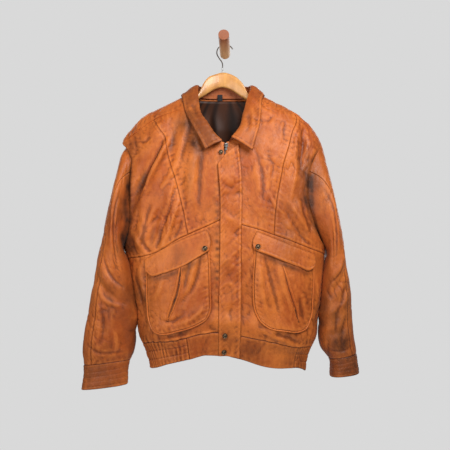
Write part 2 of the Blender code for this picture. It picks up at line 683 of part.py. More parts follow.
# What lies on the fronts
POCKET = {
    "left": {"outer": [(-0.1800, -0.521), (-0.1820, -0.565), (-0.1820, -0.611), (-0.1760, -0.665),
                       (-0.1640, -0.686)],
             "bottom": [(-0.1640, -0.686), (-0.1500, -0.690), (-0.1100, -0.682),
                        (-0.0700, -0.669), (-0.0450, -0.655)],
             "inner": [(-0.0440, -0.462), (-0.0400, -0.506), (-0.0370, -0.600), (-0.0370, -0.636),
                       (-0.0450, -0.655)],
             "top": [(-0.1800, -0.521), (-0.1100, -0.490), (-0.0440, -0.462)],
             "slit": [(0.55, 0.16), (0.50, 0.45), (0.30, 0.84)]},
    "right": {"outer": [(0.2080, -0.515), (0.2080, -0.560), (0.2060, -0.610), (0.2020, -0.655),
                        (0.1900, -0.680)],
              "bottom": [(0.1900, -0.680), (0.1740, -0.6855), (0.1400, -0.682), (0.1050, -0.675),
                         (0.0840, -0.660)],
              "inner": [(0.0740, -0.466), (0.0720, -0.510), (0.0680, -0.587), (0.0740, -0.640),
                        (0.0840, -0.660)],
              "top": [(0.2080, -0.515), (0.1400, -0.493), (0.0740, -0.466)],
              "slit": [(0.54, 0.12), (0.42, 0.45), (0.22, 0.86)]},
}
POCKET_FULLNESS = 0.0028
FLAP = {
    "left": {"top": [(-0.1890, -0.5160), (-0.1080, -0.4720), (-0.0420, -0.4460)],
             "bottom": [(-0.1840, -0.546), (-0.1690, -0.5565), (-0.1450, -0.550), (-0.1050, -0.536),
                        (-0.0600, -0.510), (-0.0372, -0.496)],
             "outer": [(-0.1890, -0.5160), (-0.1870, -0.531), (-0.1840, -0.546)],
             "inner": [(-0.0420, -0.4460), (-0.0330, -0.475), (-0.0372, -0.496)],
             "snap": (-0.0465, -0.4900)},
    "right": {"top": [(0.2120, -0.5040), (0.1430, -0.4780), (0.0740, -0.4500)],
              "bottom": [(0.2070, -0.536), (0.1970, -0.5430), (0.1700, -0.534), (0.1390, -0.522),
                         (0.1000, -0.506), (0.0670, -0.494)],
              "outer": [(0.2120, -0.5040), (0.2120, -0.521), (0.2070, -0.536)],
              "inner": [(0.0740, -0.4500), (0.0640, -0.475), (0.0670, -0.494)],
              "snap": (0.0765, -0.4860)},
}
FLAP_LIFT = (0.0004, 0.0088)
POCKET_ROWS, POCKET_COLUMNS = 8, 7
FLAP_ROWS, FLAP_COLUMNS = 3, 10


def front_patch(shape, rows, columns):
    """A patch of (x, z) between the named edge lines of a pocket or a flap."""
    return patch(path(*shape["top"]), path(*shape["bottom"]), path(*shape["outer"]),
                 path(*shape["inner"]), rows, columns)


def pocket_lift(u, v):
    """How far the pocket stands off the front: flat at its seams, fuller in the middle."""
    return LAY_GAP + POCKET_FULLNESS * np.sin(np.pi * u) * np.sin(np.pi * v)


def build_pockets():
    for side in SIDES:
        x, z = front_patch(POCKET[side], POCKET_ROWS, POCKET_COLUMNS)
        u, v = np.meshgrid(np.linspace(0, 1, POCKET_COLUMNS + 1),
                           np.linspace(0, 1, POCKET_ROWS + 1))
        skin_wall(f"pocket_{side}", front_angle(x, z), z, pocket_lift(u, v))


def build_pocket_flaps():
    for side in SIDES:
        x, z = front_patch(FLAP[side], FLAP_ROWS, FLAP_COLUMNS)
        v = np.linspace(0, 1, FLAP_ROWS + 1)[:, None] + 0 * x
        lift = FLAP_LIFT[0] + (FLAP_LIFT[1] - FLAP_LIFT[0]) * np.sqrt(v)
        skin_wall(f"pocket_flap_{side}", front_angle(x, z), z, lift)


WELT_WIDTH = 0.0080
WELT_CELLS = 8


def build_welts():
    """The slanted hand openings: a raised lip of leather on each pocket."""
    for side in SIDES:
        t = np.linspace(0, 1, WELT_CELLS + 1)
        shape = POCKET[side]
        u, v = path(*shape["slit"])(t).T
        edges = {name: path(*shape[name]) for name in ("top", "bottom", "outer", "inner")}
        middle = np.array([point_in(edges, a, b) for a, b in zip(u, v)])
        along = unit(np.gradient(middle, axis=0))
        across = np.stack([along[:, 1], -along[:, 0]], -1) * WELT_WIDTH / 2
        grid = np.stack([middle - across, middle, middle + across])
        x, z = grid[..., 0], grid[..., 1]
        lift = (pocket_lift(u, v) + LEATHER + LAY_GAP)[None] + 0 * x
        skin_wall(f"pocket_welt_{side}", front_angle(x, z), z, lift)


def point_in(edges, u, v):
    top, bottom = edges["top"](u), edges["bottom"](u)
    outer, inner = edges["outer"](v), edges["inner"](v)
    corners = ((1 - u) * (1 - v) * edges["top"](0.0) + u * (1 - v) * edges["top"](1.0)
               + (1 - u) * v * edges["bottom"](0.0) + u * v * edges["bottom"](1.0))
    return (1 - v) * top + v * bottom + (1 - u) * outer + u * inner - corners


PIPING_OFF = 0.0026
PIPING_POINTS = 9


def build_piping():
    """A cord of leather along the outer, lower and inner edge of each pocket."""
    for side in SIDES:
        shape = POCKET[side]
        t = np.linspace(0, 1, PIPING_POINTS)
        route = np.concatenate([path(*shape["outer"])(t[1:])[:-1],
                                path(*shape["bottom"])(t),
                                path(*shape["inner"])(t[::-1][:-1])[1:]])
        centre = route.mean(axis=0)
        tangent = unit(np.gradient(route, axis=0))
        side_way = np.stack([tangent[:, 1], -tangent[:, 0]], -1)
        side_way *= np.sign(np.sum(side_way * (route - centre), axis=1))[:, None]
        route = route + side_way * PIPING_OFF
        x, z = route.T
        points, _ = skin(front_angle(x, z), z, PIPING_RADIUS + LAY_GAP + 0 * x)
        cord(f"pocket_piping_{side}", points, PIPING_RADIUS, leather(), resolution=0)


def cord(name, points, radius, made, resolution=2):
    """A round bar along points, with its caps welded on."""
    curve = bpy.data.curves.new(name, "CURVE")
    curve.dimensions = "3D"
    curve.bevel_depth = radius
    curve.bevel_resolution = resolution
    curve.use_fill_caps = True
    line = curve.splines.new("POLY")
    line.points.add(len(points) - 1)
    for point, place in zip(line.points, points):
        point.co = (*place, 1)
    guide = bpy.data.objects.new(name + " route", curve)
    bpy.context.scene.collection.objects.link(guide)
    shape = guide.evaluated_get(bpy.context.evaluated_depsgraph_get())
    mesh = bpy.data.meshes.new_from_object(shape)
    mesh.name = name
    bpy.data.objects.remove(guide)
    work = bmesh.new()
    work.from_mesh(mesh)
    bmesh.ops.remove_doubles(work, verts=work.verts, dist=1e-6)
    work.to_mesh(mesh)
    work.free()
    return finish(name, mesh, made)


STORM_FLAP = {
    "left": [(-0.0175, -0.292), (-0.0130, -0.340), (-0.0120, -0.480), (-0.0150, -0.640),
             (-0.0155, -0.7435)],
    "right": [(0.0330, -0.2440), (0.0385, -0.300), (0.0385, -0.480), (0.0380, -0.640),
              (0.0350, -0.7495)],
    "top": [(-0.0175, -0.292), (0.0060, -0.264), (0.0330, -0.2440)],
    "bottom": [(-0.0155, -0.7435), (0.0050, -0.7435), (0.0350, -0.7495)],
}
FLAP_CURL = 0.009
STORM_LIFT = 0.0018
STORM_LEATHER = 0.0024
STORM_ROWS, STORM_COLUMNS = 16, 3


def build_storm_flap():
    """The flap over the zip, with its unfastened top corner curling out."""
    x, z = patch(*[path(*STORM_FLAP[edge]) for edge in ("top", "bottom", "left", "right")],
                 STORM_ROWS, STORM_COLUMNS)
    loose = np.clip((z + 0.42) / 0.16, 0, 1) ** 2 * np.clip((0.034 - x) / 0.045, 0, 1)
    skin_wall("storm_flap", front_angle(x, z), z, STORM_LIFT + FLAP_CURL * loose,
              thickness=STORM_LEATHER)


ZIP_HALF_WIDTH = 0.013
ZIP_THICKNESS = 0.0012
ZIP_GAP = 0.0009
ZIP_ROWS = 14


def build_zip():
    """Tape and teeth in one strip behind the edges of the fronts."""
    heights = np.linspace(V_BOTTOM - 0.002, -0.738, ZIP_ROWS)[:, None]
    x = np.linspace(-ZIP_HALF_WIDTH, ZIP_HALF_WIDTH, 3)[None] + 0 * heights
    z = heights + 0 * x
    lift = 0 * x - LEATHER - ZIP_GAP - ZIP_THICKNESS
    skin_wall("zip_tape", front_angle(x, z), z, lift, thickness=ZIP_THICKNESS,
              made=black_tape())


# Zip slider and its pull tab
SLIDER_Z = -0.2470
SLIDER_SIZE = Vector((0.0080, 0.0022, 0.0090))
LUG_SIZE = Vector((0.0012, 0.0050, 0.0032))
LUG_SPREAD = 0.0030
AXLE_RADIUS = 0.0008
PULL_SIZE = Vector((0.0046, 0.0010, 0.0130))
SLIDER_X = 0.0030


def box(name, size, centre):
    bpy.ops.mesh.primitive_cube_add(size=1, location=centre)
    cube = bpy.context.active_object
    cube.name = name
    cube.scale = size
    bpy.ops.object.transform_apply(location=True, rotation=False, scale=True)
    return cube


def rod(name, radius, length, centre, axis):
    bpy.ops.mesh.primitive_cylinder_add(vertices=12, radius=radius, depth=length, location=centre)
    bar = bpy.context.active_object
    bar.name = name
    bar.rotation_euler = Vector(axis).to_track_quat("Z", "Y").to_euler()
    bpy.ops.object.transform_apply(location=True, rotation=True, scale=False)
    return bar


def move_to(thing, collection):
    for home in list(thing.users_collection):
        home.objects.unlink(thing)
    collection.objects.link(thing)


def merged(name, parts, made):
    """Parts that overlap, joined into one body with Boolean unions and baked."""
    base = parts[0]
    for other in parts[1:]:
        joint = base.modifiers.new("join", "BOOLEAN")
        joint.operation = "UNION"
        joint.object = other
    shape = base.evaluated_get(bpy.context.evaluated_depsgraph_get())
    mesh = bpy.data.meshes.new_from_object(shape)
    mesh.name = name
    for part in parts:
        bpy.data.objects.remove(part)
    return finish(name, mesh, made, flat=True)


def slider_seat():
    """The middle of the slider, just clear of the fronts, and the hinge of its pull tab."""
    z = np.array(SLIDER_Z)
    x = np.array(SLIDER_X)
    point, _ = skin(front_angle(x, z), z, LAY_GAP)
    seat = Vector(point)
    seat.y -= SLIDER_SIZE.y / 2 + 0.0002
    hinge = seat + Vector((0, -SLIDER_SIZE.y / 2 - LUG_SIZE.y / 2, 0.0018))
    return seat, hinge


def build_slider():
    seat, hinge = slider_seat()
    parts = [box("slider plate", SLIDER_SIZE, seat)]
    for way in (-1, 1):
        parts.append(box("slider lug", LUG_SIZE + Vector((0, 0.0006, 0)),
                         hinge + Vector((way * LUG_SPREAD, 0.0003, 0))))
    parts.append(rod("slider axle", AXLE_RADIUS, 2 * LUG_SPREAD, hinge, (1, 0, 0)))
    merged("zip_slider", parts, bright_steel())


def build_pull():
    """A flat tab with an eye that runs round the slider's axle."""
    _, hinge = slider_seat()
    eye_radius = AXLE_RADIUS + SEAM_GAP
    width = 2 * LUG_SPREAD - LUG_SIZE.x - 2 * SEAM_GAP
    ring = rod("pull eye", eye_radius + 0.0009, width, hinge, (1, 0, 0))
    drop = Vector((0, 0, -eye_radius - PULL_SIZE.z / 2 - 0.0004))
    tab = box("pull tab", PULL_SIZE, hinge + drop)
    bore = rod("pull bore", eye_radius, width * 2, hinge, (1, 0, 0))
    joint = ring.modifiers.new("join", "BOOLEAN")
    joint.operation = "UNION"
    joint.object = tab
    cut = ring.modifiers.new("bore", "BOOLEAN")
    cut.operation = "DIFFERENCE"
    cut.object = bore
    shape = ring.evaluated_get(bpy.context.evaluated_depsgraph_get())
    mesh = bpy.data.meshes.new_from_object(shape)
    for part in (ring, tab, bore):
        bpy.data.objects.remove(part)
    mesh.transform(Matrix.Translation(-hinge))
    pull = finish("zip_pull", mesh, bright_steel(), flat=True)
    pull.location = hinge


# Press studs, as (x, z, what they sit on, scale)
STUDS = {
    "snap_pocket_left": (*FLAP["left"]["snap"], "pocket_flap_left", 1.0),
    "snap_pocket_right": (*FLAP["right"]["snap"], "pocket_flap_right", 1.0),
    "snap_band_upper": (0.0000, -0.6930, "storm_flap", 1.0),
    "snap_band_lower": (-0.0020, -0.7330, "storm_flap", 1.0),
    "snap_neck": (-0.0095, -0.2640, "front_centre_left", SMALL_SNAP_SCALE),
}


def seat_on(carrier, x, z):
    """The point of a built piece seen at (x, z) from the front, and the way out there."""
    work = bmesh.new()
    work.from_mesh(bpy.data.objects[carrier].data)
    place, out, _, _ = BVHTree.FromBMesh(work).ray_cast(Vector((x, -1, z)), Vector((0, 1, 0)))
    work.free()
    return place, out


def build_snaps():
    profile = [(SNAP_RADIUS * 0.60, SNAP_HEIGHT * 0.95), (SNAP_RADIUS * 0.80, SNAP_HEIGHT * 0.60),
               (SNAP_RADIUS, SNAP_HEIGHT * 0.40), (SNAP_RADIUS, 0.0)]
    for name, (x, z, carrier, scale) in STUDS.items():
        place, out = seat_on(carrier, x, z)
        mesh = bpy.data.meshes.new(name)
        rim = [(r * scale, 0.0, h * scale) for r, h in profile]
        top, foot = (0, 0, rim[0][2]), (0, 0, 0)
        points = [top, *rim, foot]
        mesh.from_pydata(points, [(i, i + 1) for i in range(len(points) - 1)], [])
        stud = bpy.data.objects.new(name + " profile", mesh)
        bpy.context.scene.collection.objects.link(stud)
        turn = stud.modifiers.new("turn", "SCREW")
        turn.steps = turn.render_steps = 12
        turn.use_merge_vertices = True
        turn.merge_threshold = 1e-5
        shape = stud.evaluated_get(bpy.context.evaluated_depsgraph_get())
        turned_mesh = bpy.data.meshes.new_from_object(shape)
        bpy.data.objects.remove(stud)
        frame = out.to_track_quat("Z", "Y").to_matrix().to_4x4()
        turned_mesh.transform(Matrix.Translation(place + out * STUD_GAP) @ frame)
        turned_mesh.name = name
        finish(name, turned_mesh, dark_brass())


# Collar: the stand rises from the neckline to the roll, and the fall turns over it
ROLL = [(-0.0058, -0.1680, -0.2370), (-0.0258, -0.1600, -0.2165), (-0.0420, -0.1480, -0.1905),
        (-0.0565, -0.1330, -0.1690), (-0.0640, -0.1120, -0.1350), (-0.0660, -0.0800, -0.0960),
        (-0.0605, -0.0420, -0.0905), (-0.0330, -0.0325, -0.0890), (0.0000, -0.0305, -0.0885),
        (0.0320, -0.0325, -0.0890), (0.0560, -0.0430, -0.0910), (0.0630, -0.0800, -0.0970),
        (0.0545, -0.1120, -0.1345), (0.0430, -0.1340, -0.1700), (0.0378, -0.1470, -0.1960),
        (0.0300, -0.1570, -0.2110), (0.0145, -0.1680, -0.2300)]
FALL_EDGE = [(-0.0470, -0.1700, -0.2585), (-0.0590, -0.1640, -0.2330), (-0.0730, -0.1550, -0.2080),
             (-0.0915, -0.1360, -0.1730), (-0.1005, -0.1180, -0.1480),
             (-0.1060, -0.0840, -0.1180), (-0.0960, -0.0260, -0.1390),
             (-0.0500, -0.0130, -0.1490), (0.0000, -0.0110, -0.1520),
             (0.0480, -0.0130, -0.1490), (0.0900, -0.0260, -0.1380), (0.0960, -0.0840, -0.1160),
             (0.0890, -0.1160, -0.1480), (0.0860, -0.1400, -0.1760), (0.0820, -0.1540, -0.2010),
             (0.0745, -0.1640, -0.2270), (0.0645, -0.1700, -0.2610)]
NECK_EDGE = {
    "left": [(-0.0100, -0.2400), (-0.0300, -0.2250), (-0.0500, -0.2015), (-0.0660, -0.1740)],
    "right": [(0.0100, -0.2400), (0.0320, -0.2230), (0.0500, -0.1985), (0.0640, -0.1720)],
}
COLLAR_COLUMNS = 28
STAND_ROWS = 2
FALL_ROWS = 4
FALL_FULLNESS = 0.0050
COLLAR_CLEAR = 0.0016
FALL_CLEAR = 0.0050
ROLL_GAP = 0.0024
SHOULDER_BELOW = -0.165


def neck_edge():
    """The foot of the collar stand: along the neckline, a wall's thickness inside it."""
    points = []
    for x, z in NECK_EDGE["left"]:
        points.append(skin(front_angle(np.array(x), np.array(z)), np.array(z), 0.0)[0])
    for degrees, z in BACK_NECK[::-1]:
        points.append(skin(np.array(math.radians(degrees)), np.array(z + 0.0008), 0.0)[0])
    for x, z in NECK_EDGE["right"][::-1]:
        points.append(skin(front_angle(np.array(x), np.array(z)), np.array(z), 0.0)[0])
    return path(*points)


def build_collar():
    share = np.linspace(0, 1, COLLAR_COLUMNS + 1)
    stations = np.linspace(0, 1, len(ROLL))
    roll = Track(*[(t, *p) for t, p in zip(stations, ROLL)])(share)
    edge = Track(*[(t, *p) for t, p in zip(stations, FALL_EDGE)])(share)
    foot = neck_edge()(share)
    v = np.linspace(0, 1, FALL_ROWS + 1)[:, None, None]
    fall = roll[None] * (1 - v) + edge[None] * v
    fall = fall + grid_out(fall) * (FALL_FULLNESS * np.sin(np.pi * v ** 0.6))
    fall = clear_of_body(fall, v[..., 0])
    out = grid_out(fall)
    wall("collar_fall", fall, out, LEATHER, leather())
    top = roll - out[0] * ROLL_GAP
    foot = foot + unit(top - foot) * COLLAR_CLEAR
    v = np.linspace(0, 1, STAND_ROWS + 1)[:, None, None]
    stand = top[None] * (1 - v) + foot[None] * v
    wall("collar_stand", stand, grid_out(stand), LEATHER, leather())


def clear_of_body(points, share):
    """Lifts the points of the collar's fall off the shoulders and forward off the fronts."""
    x, y, z = np.moveaxis(points.copy(), -1, 0)
    margin = FALL_CLEAR * np.minimum(1, 4 * share)
    over_front = (np.abs(x) < 0.97 * half_width(z, x >= 0)) & (y < MIDDLE(z)) & (z < SHOULDER_BELOW)
    front = folded_skin(front_angle(x, z), z)[..., 1] - margin
    y = np.where(over_front, np.minimum(y, front), y)
    for _ in range(16):
        below = z - 1.5 * margin
        depth = np.where(y < MIDDLE(below), DEPTH_FRONT(below), DEPTH_BACK(below))
        inside = ((np.abs(x) / half_width(below, x >= 0)) ** WIDTH_POWER
                  + (np.abs(y - MIDDLE(below)) / depth) ** DEPTH_POWER) < 1
        z = z + 0.001 * (inside & (z > SHOULDER_BELOW))
    return np.stack([x, y, z], axis=-1)


def grid_out(points):
    """The way out of an open grid whose rows run down and whose columns run rightwards."""
    along = np.gradient(points, axis=0)
    across = np.gradient(points, axis=1)
    return unit(np.cross(across, along))


# Inside
LINING_OFF = (0.0012, 0.0095)
LINING_ROWS, LINING_COLUMNS = 8, 12


def build_lining():
    """Satin hanging inside the back, from the neckline down."""
    degrees = np.linspace(125, 235, LINING_COLUMNS + 1)[None]
    wrapped = (degrees + 180) % 360 - 180
    v = np.linspace(0, 1, LINING_ROWS + 1)[:, None]
    top = Track(*[(d, z) for d, z in BACK_NECK])(degrees) - 0.0030
    heights = top * (1 - v) + (BAND_TOP(wrapped) + 0.004) * v
    angles = np.radians(degrees) + 0 * heights
    wave = 0.0022 * (1 - np.cos(np.radians(degrees) * 34)) * np.minimum(1, 4 * v)
    out = outward(smooth_skin, angles, heights)
    off = LINING_OFF[0] + (LINING_OFF[1] - LINING_OFF[0]) * np.minimum(1, 8 * v)
    outer = smooth_skin(angles, heights) - out * (LEATHER + off + wave)[..., None]
    wall("back_lining", outer, out, LINING, dark_satin())


def build_loop_tab():
    """The small black loop sewn under the collar at the back of the neck."""
    tab = box("loop_tab", Vector((0.0125, 0.0014, 0.0160)), Vector((-0.0125, -0.0339, -0.1175)))
    tab.rotation_euler.x = math.radians(2)
    mesh = tab.data.copy()
    mesh.transform(tab.matrix_world)
    bpy.data.objects.remove(tab)
    finish("loop_tab", mesh, black_tape(), flat=True)


# Hanger, hook and peg
HANGER_HEAD_TOP = [(-0.076, -0.1205), (-0.070, -0.1160), (-0.065, -0.1095), (-0.0605, -0.1000),
                   (-0.0565, -0.0905), (-0.044, -0.0715), (-0.025, -0.0616), (-0.006, -0.0566),
                   (0.0125, -0.0603), (0.0365, -0.0765), (0.047, -0.0905), (0.0525, -0.1025),
                   (0.058, -0.1125), (0.066, -0.1195)]
HANGER_UNDERSIDE = [(-0.218, -0.1980), (-0.066, -0.1245), (-0.006, -0.0938), (0.052, -0.1255),
                    (0.208, -0.2020)]
HANGER_ENDS = (-0.218, 0.208)
HANGER_ARM_HEIGHT = 0.016
HANGER_CLEAR = Track((-0.218, 0.0068), (-0.190, 0.0062), (-0.160, 0.0050), (-0.130, 0.0050),
                     (-0.100, 0.0064), (-0.086, 0.0068), (0.076, 0.0068), (0.095, 0.0064),
                     (0.120, 0.0050), (0.150, 0.0050), (0.180, 0.0062), (0.208, 0.0068))
HANGER_MIDDLE = Track((-0.24, -0.080), (-0.15, -0.079), (-0.10, -0.071), (-0.06, -0.056),
                      (-0.006, -0.046), (0.05, -0.056), (0.09, -0.071), (0.14, -0.079),
                      (0.24, -0.080))
HANGER_STATIONS = 26
HANGER_SIDES = 10


def ridge_height(x):
    """The height of the shoulder's ridge at x."""
    side = "left" if x < 0 else "right"
    heights = np.linspace(-0.238, -0.100, 140)
    return float(np.interp(abs(x), HALF_WIDTH[side](heights)[::-1], heights[::-1]))


def hanger_top():
    stations = list(HANGER_HEAD_TOP)
    for x in (-0.218, -0.190, -0.160, -0.130, -0.100, -0.086):
        stations.append((x, ridge_height(x) - float(HANGER_CLEAR(x))))
    for x in (0.076, 0.095, 0.120, 0.150, 0.180, 0.208):
        stations.append((x, ridge_height(x) - float(HANGER_CLEAR(x))))
    return Track(*stations)


def build_hanger():
    """A contoured hanger lofted through rounded sections from tip to tip."""
    top = hanger_top()
    under = Track(*HANGER_UNDERSIDE)
    low, high = HANGER_ENDS
    share = np.linspace(0, 1, HANGER_STATIONS)
    xs = low + (high - low) * (share - 0.10 * np.sin(2 * math.pi * share) / (2 * math.pi))
    sections = []
    for x in xs:
        upper = float(top(x))
        in_head = HANGER_HEAD_TOP[0][0] < x < HANGER_HEAD_TOP[-1][0]
        lower = float(under(x)) if in_head else min(float(under(x)), upper - HANGER_ARM_HEIGHT)
        end = min(x - low, high - x)
        round_off = math.sqrt(min(1.0, 0.15 + end / 0.012))
        half_height = (upper - lower) / 2 * round_off
        centre = Vector((x, float(HANGER_MIDDLE(x)), (upper + lower) / 2))
        ring = []
        for k in range(HANGER_SIDES):
            turn = 2 * math.pi * (k + 0.5) / HANGER_SIDES
            y = HANGER_HALF_THICKNESS * round_off * float(power(np.cos(turn), 0.8))
            z = half_height * float(power(np.sin(turn), 0.8))
            ring.append(centre + Vector((0, y, z)))
        sections.append(ring)
    mesh = bpy.data.meshes.new("hanger")
    points = [tuple(p) for ring in sections for p in ring]
    faces = [tuple(range(HANGER_SIDES)),
             tuple(range(len(points) - HANGER_SIDES, len(points)))]
    for i in range(len(sections) - 1):
        for k in range(HANGER_SIDES):
            a, b = i * HANGER_SIDES + k, i * HANGER_SIDES + (k + 1) % HANGER_SIDES
            faces.append((a, b, b + HANGER_SIDES, a + HANGER_SIDES))
    mesh.from_pydata(points, [], faces)
    hanger = finish("hanger", mesh, hanger_wood())
    bore = rod("hanger bore", WIRE_RADIUS + SEAM_GAP, 2 * HOOK_DEPTH, HOOK_SEAT, (0, 0, 1))
    move_to(bore, bpy.data.collections["cutters"])
    bore.hide_render = True
    bore.display_type = "WIRE"
    cut = hanger.modifiers.new("hook bore", "BOOLEAN")
    cut.operation = "DIFFERENCE"
    cut.object = bore


HOOK_SEAT = Vector((-0.0063, -0.0455, -0.0575))
HOOK_DEPTH = 0.014
HOOK_CENTRE = (0.0003, -0.0022)
HOOK_RADIUS = 0.0209
HOOK_TOP_Y = -0.0200


def build_hook():
    """Wire from the hanger head up, round the peg and down to its tip on the right."""
    turns = np.radians(np.linspace(207, 26, 13))
    loop = [(HOOK_CENTRE[0] + HOOK_RADIUS * math.cos(t), HOOK_CENTRE[1] + HOOK_RADIUS * math.sin(t))
            for t in turns]
    foot = [(HOOK_SEAT.x, HOOK_SEAT.z - HOOK_DEPTH + 0.0004), (HOOK_SEAT.x, -0.046),
            (HOOK_SEAT.x, -0.034), (-0.0085, -0.0275), (-0.0135, -0.0205)]
    points = []
    top = HOOK_CENTRE[1] + HOOK_RADIUS
    for x, z in foot + loop:
        lean = min(1.0, (top - z) / (top + 0.046))
        points.append((x, HOOK_TOP_Y + (HOOK_SEAT.y - HOOK_TOP_Y) * lean, z))
    cord("hanger_hook", points, WIRE_RADIUS, bright_steel(), resolution=1)


def build_peg():
    """A turned peg with a rounded tip, tilted up, its wall end cut flat on the wall."""
    reach = PEG_LENGTH + 0.01
    profile = [(0.0, reach), (PEG_RADIUS * 0.72, reach), (PEG_RADIUS * 0.93, reach - 0.0012),
               (PEG_RADIUS, reach - 0.0040), (PEG_RADIUS, 0.0), (0.0, 0.0)]
    mesh = bpy.data.meshes.new("peg profile")
    mesh.from_pydata([(r, 0, h) for r, h in profile],
                     [(i, i + 1) for i in range(len(profile) - 1)], [])
    stick = bpy.data.objects.new("peg profile", mesh)
    bpy.context.scene.collection.objects.link(stick)
    turn = stick.modifiers.new("turn", "SCREW")
    turn.steps = turn.render_steps = 28
    turn.use_merge_vertices = True
    turn.merge_threshold = 1e-5
    shape = stick.evaluated_get(bpy.context.evaluated_depsgraph_get())
    peg_mesh = bpy.data.meshes.new_from_object(shape)
    bpy.data.objects.remove(stick)
    way = Vector((-math.sin(PEG_LEAN), -math.cos(PEG_TILT), math.sin(PEG_TILT))).normalized()
    turned_to = way.to_track_quat("Z", "Y").to_matrix().to_4x4()
    peg_mesh.transform(Matrix.Translation(-way * 0.01) @ turned_to)
    work = bmesh.new()
    work.from_mesh(peg_mesh)
    everything = work.verts[:] + work.edges[:] + work.faces[:]
    bmesh.ops.bisect_plane(work, geom=everything, plane_co=(0, 0, 0), plane_no=(0, 1, 0),
                           clear_outer=True, dist=1e-6)
    rim = [e for e in work.edges if e.is_boundary]
    bmesh.ops.contextual_create(work, geom=rim)
    work.to_mesh(peg_mesh)
    work.free()
    peg_mesh.name = "wall_peg"
    finish("wall_peg", peg_mesh, peg_wood())


def clear_scene():
    for thing in list(bpy.data.objects):
        bpy.data.objects.remove(thing)
    for name in ("worn leather jacket", "cutters"):
        group = bpy.data.collections.new(name)
        bpy.context.scene.collection.children.link(group)


def main():
    clear_scene()
    build_fronts()
    build_back()
    build_sleeves()
    build_cuffs()
    build_waistband()
    build_pockets()
    build_pocket_flaps()
    build_welts()
    build_piping()
    build_storm_flap()
    build_zip()
    build_slider()
    build_pull()
    build_snaps()
    build_collar()
    build_lining()
    build_loop_tab()
    build_hanger()
    build_hook()
    build_peg()


main()
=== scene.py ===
"""Dresses the worn tan leather jacket that hangs on a wooden hanger from a wall peg.

Metres, +Z up, the front faces -Y. "left" and "right" in names are as seen from the front.
The leather follows the same skin as the model's solids: an angle round the body and a height
give a point, and every panel is a patch of that skin with its creases, seams and puckers.
"""

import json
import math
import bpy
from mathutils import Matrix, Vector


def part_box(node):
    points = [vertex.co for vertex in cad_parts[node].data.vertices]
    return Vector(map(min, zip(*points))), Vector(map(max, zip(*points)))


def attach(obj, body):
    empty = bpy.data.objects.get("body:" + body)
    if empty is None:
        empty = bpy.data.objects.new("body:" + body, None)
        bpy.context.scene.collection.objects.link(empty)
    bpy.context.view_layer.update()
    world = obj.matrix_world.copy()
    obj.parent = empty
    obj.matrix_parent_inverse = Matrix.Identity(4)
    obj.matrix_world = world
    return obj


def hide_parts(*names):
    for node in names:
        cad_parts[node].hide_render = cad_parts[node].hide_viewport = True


bl_info = {
    "name": "Worn leather jacket",
    "version": (1, 0, 0),
    "blender": (4, 5, 0),
    "location": "3D View > Sidebar > Jacket",
    "description": "Builds the leather, lining, hardware and stage of a hanging blouson jacket",
    "category": "Object",
}

import bmesh
import bpy
import numpy as np
from bpy.props import FloatProperty, FloatVectorProperty, PointerProperty
from bpy.types import Operator, Panel, PropertyGroup
from mathutils import Matrix, Vector, noise

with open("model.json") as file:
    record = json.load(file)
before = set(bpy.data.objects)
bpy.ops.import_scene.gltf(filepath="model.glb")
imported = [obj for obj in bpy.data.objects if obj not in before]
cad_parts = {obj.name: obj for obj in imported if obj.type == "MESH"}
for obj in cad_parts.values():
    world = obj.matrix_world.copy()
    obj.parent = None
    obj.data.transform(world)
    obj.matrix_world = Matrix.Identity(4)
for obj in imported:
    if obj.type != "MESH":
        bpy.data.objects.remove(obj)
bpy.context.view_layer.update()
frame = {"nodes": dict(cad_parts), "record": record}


def body_of(node):
    bodies = frame["record"]["behaviour"]["bodies"]
    return next(body for body, nodes in bodies.items() if node in nodes)


BODY, PULL_BODY = body_of("back"), body_of("zip_pull")
SIDES = {"left": -1.0, "right": 1.0}


# What a user would change
def length(name, description, value, low, high):
    return FloatProperty(name=name, description=description, default=value, min=low, max=high,
                         unit="LENGTH")


def watts(name, description, value):
    return FloatProperty(name=name, description=description, default=value, min=0.0, max=500.0,
                         subtype="POWER")


def colour(name, description, value):
    return FloatVectorProperty(name=name, description=description, subtype="COLOR", size=3,
                               min=0.0, max=1.0, default=value)


class JacketSizes(PropertyGroup):
    """Sizes of the leather work."""
    leather: length("Leather", "Thickness of the leather", 0.0018, 0.0008, 0.003)
    grid: length("Grid", "Distance between the points of a panel", 0.0040, 0.002, 0.02)
    stitch_pitch: length("Stitch pitch", "From one stitch to the next", 0.0034, 0.002, 0.01)
    stitch_length: length("Stitch length", "Length of thread that shows", 0.0025, 0.001, 0.008)
    thread: length("Thread", "Thickness of the sewing thread", 0.0006, 0.0002, 0.002)
    crease: length("Crease depth", "Depth of the leather's small creases", 0.0022, 0.0, 0.004)
    pucker: length("Pucker", "Height of the puckers beside seams", 0.0008, 0.0, 0.003)


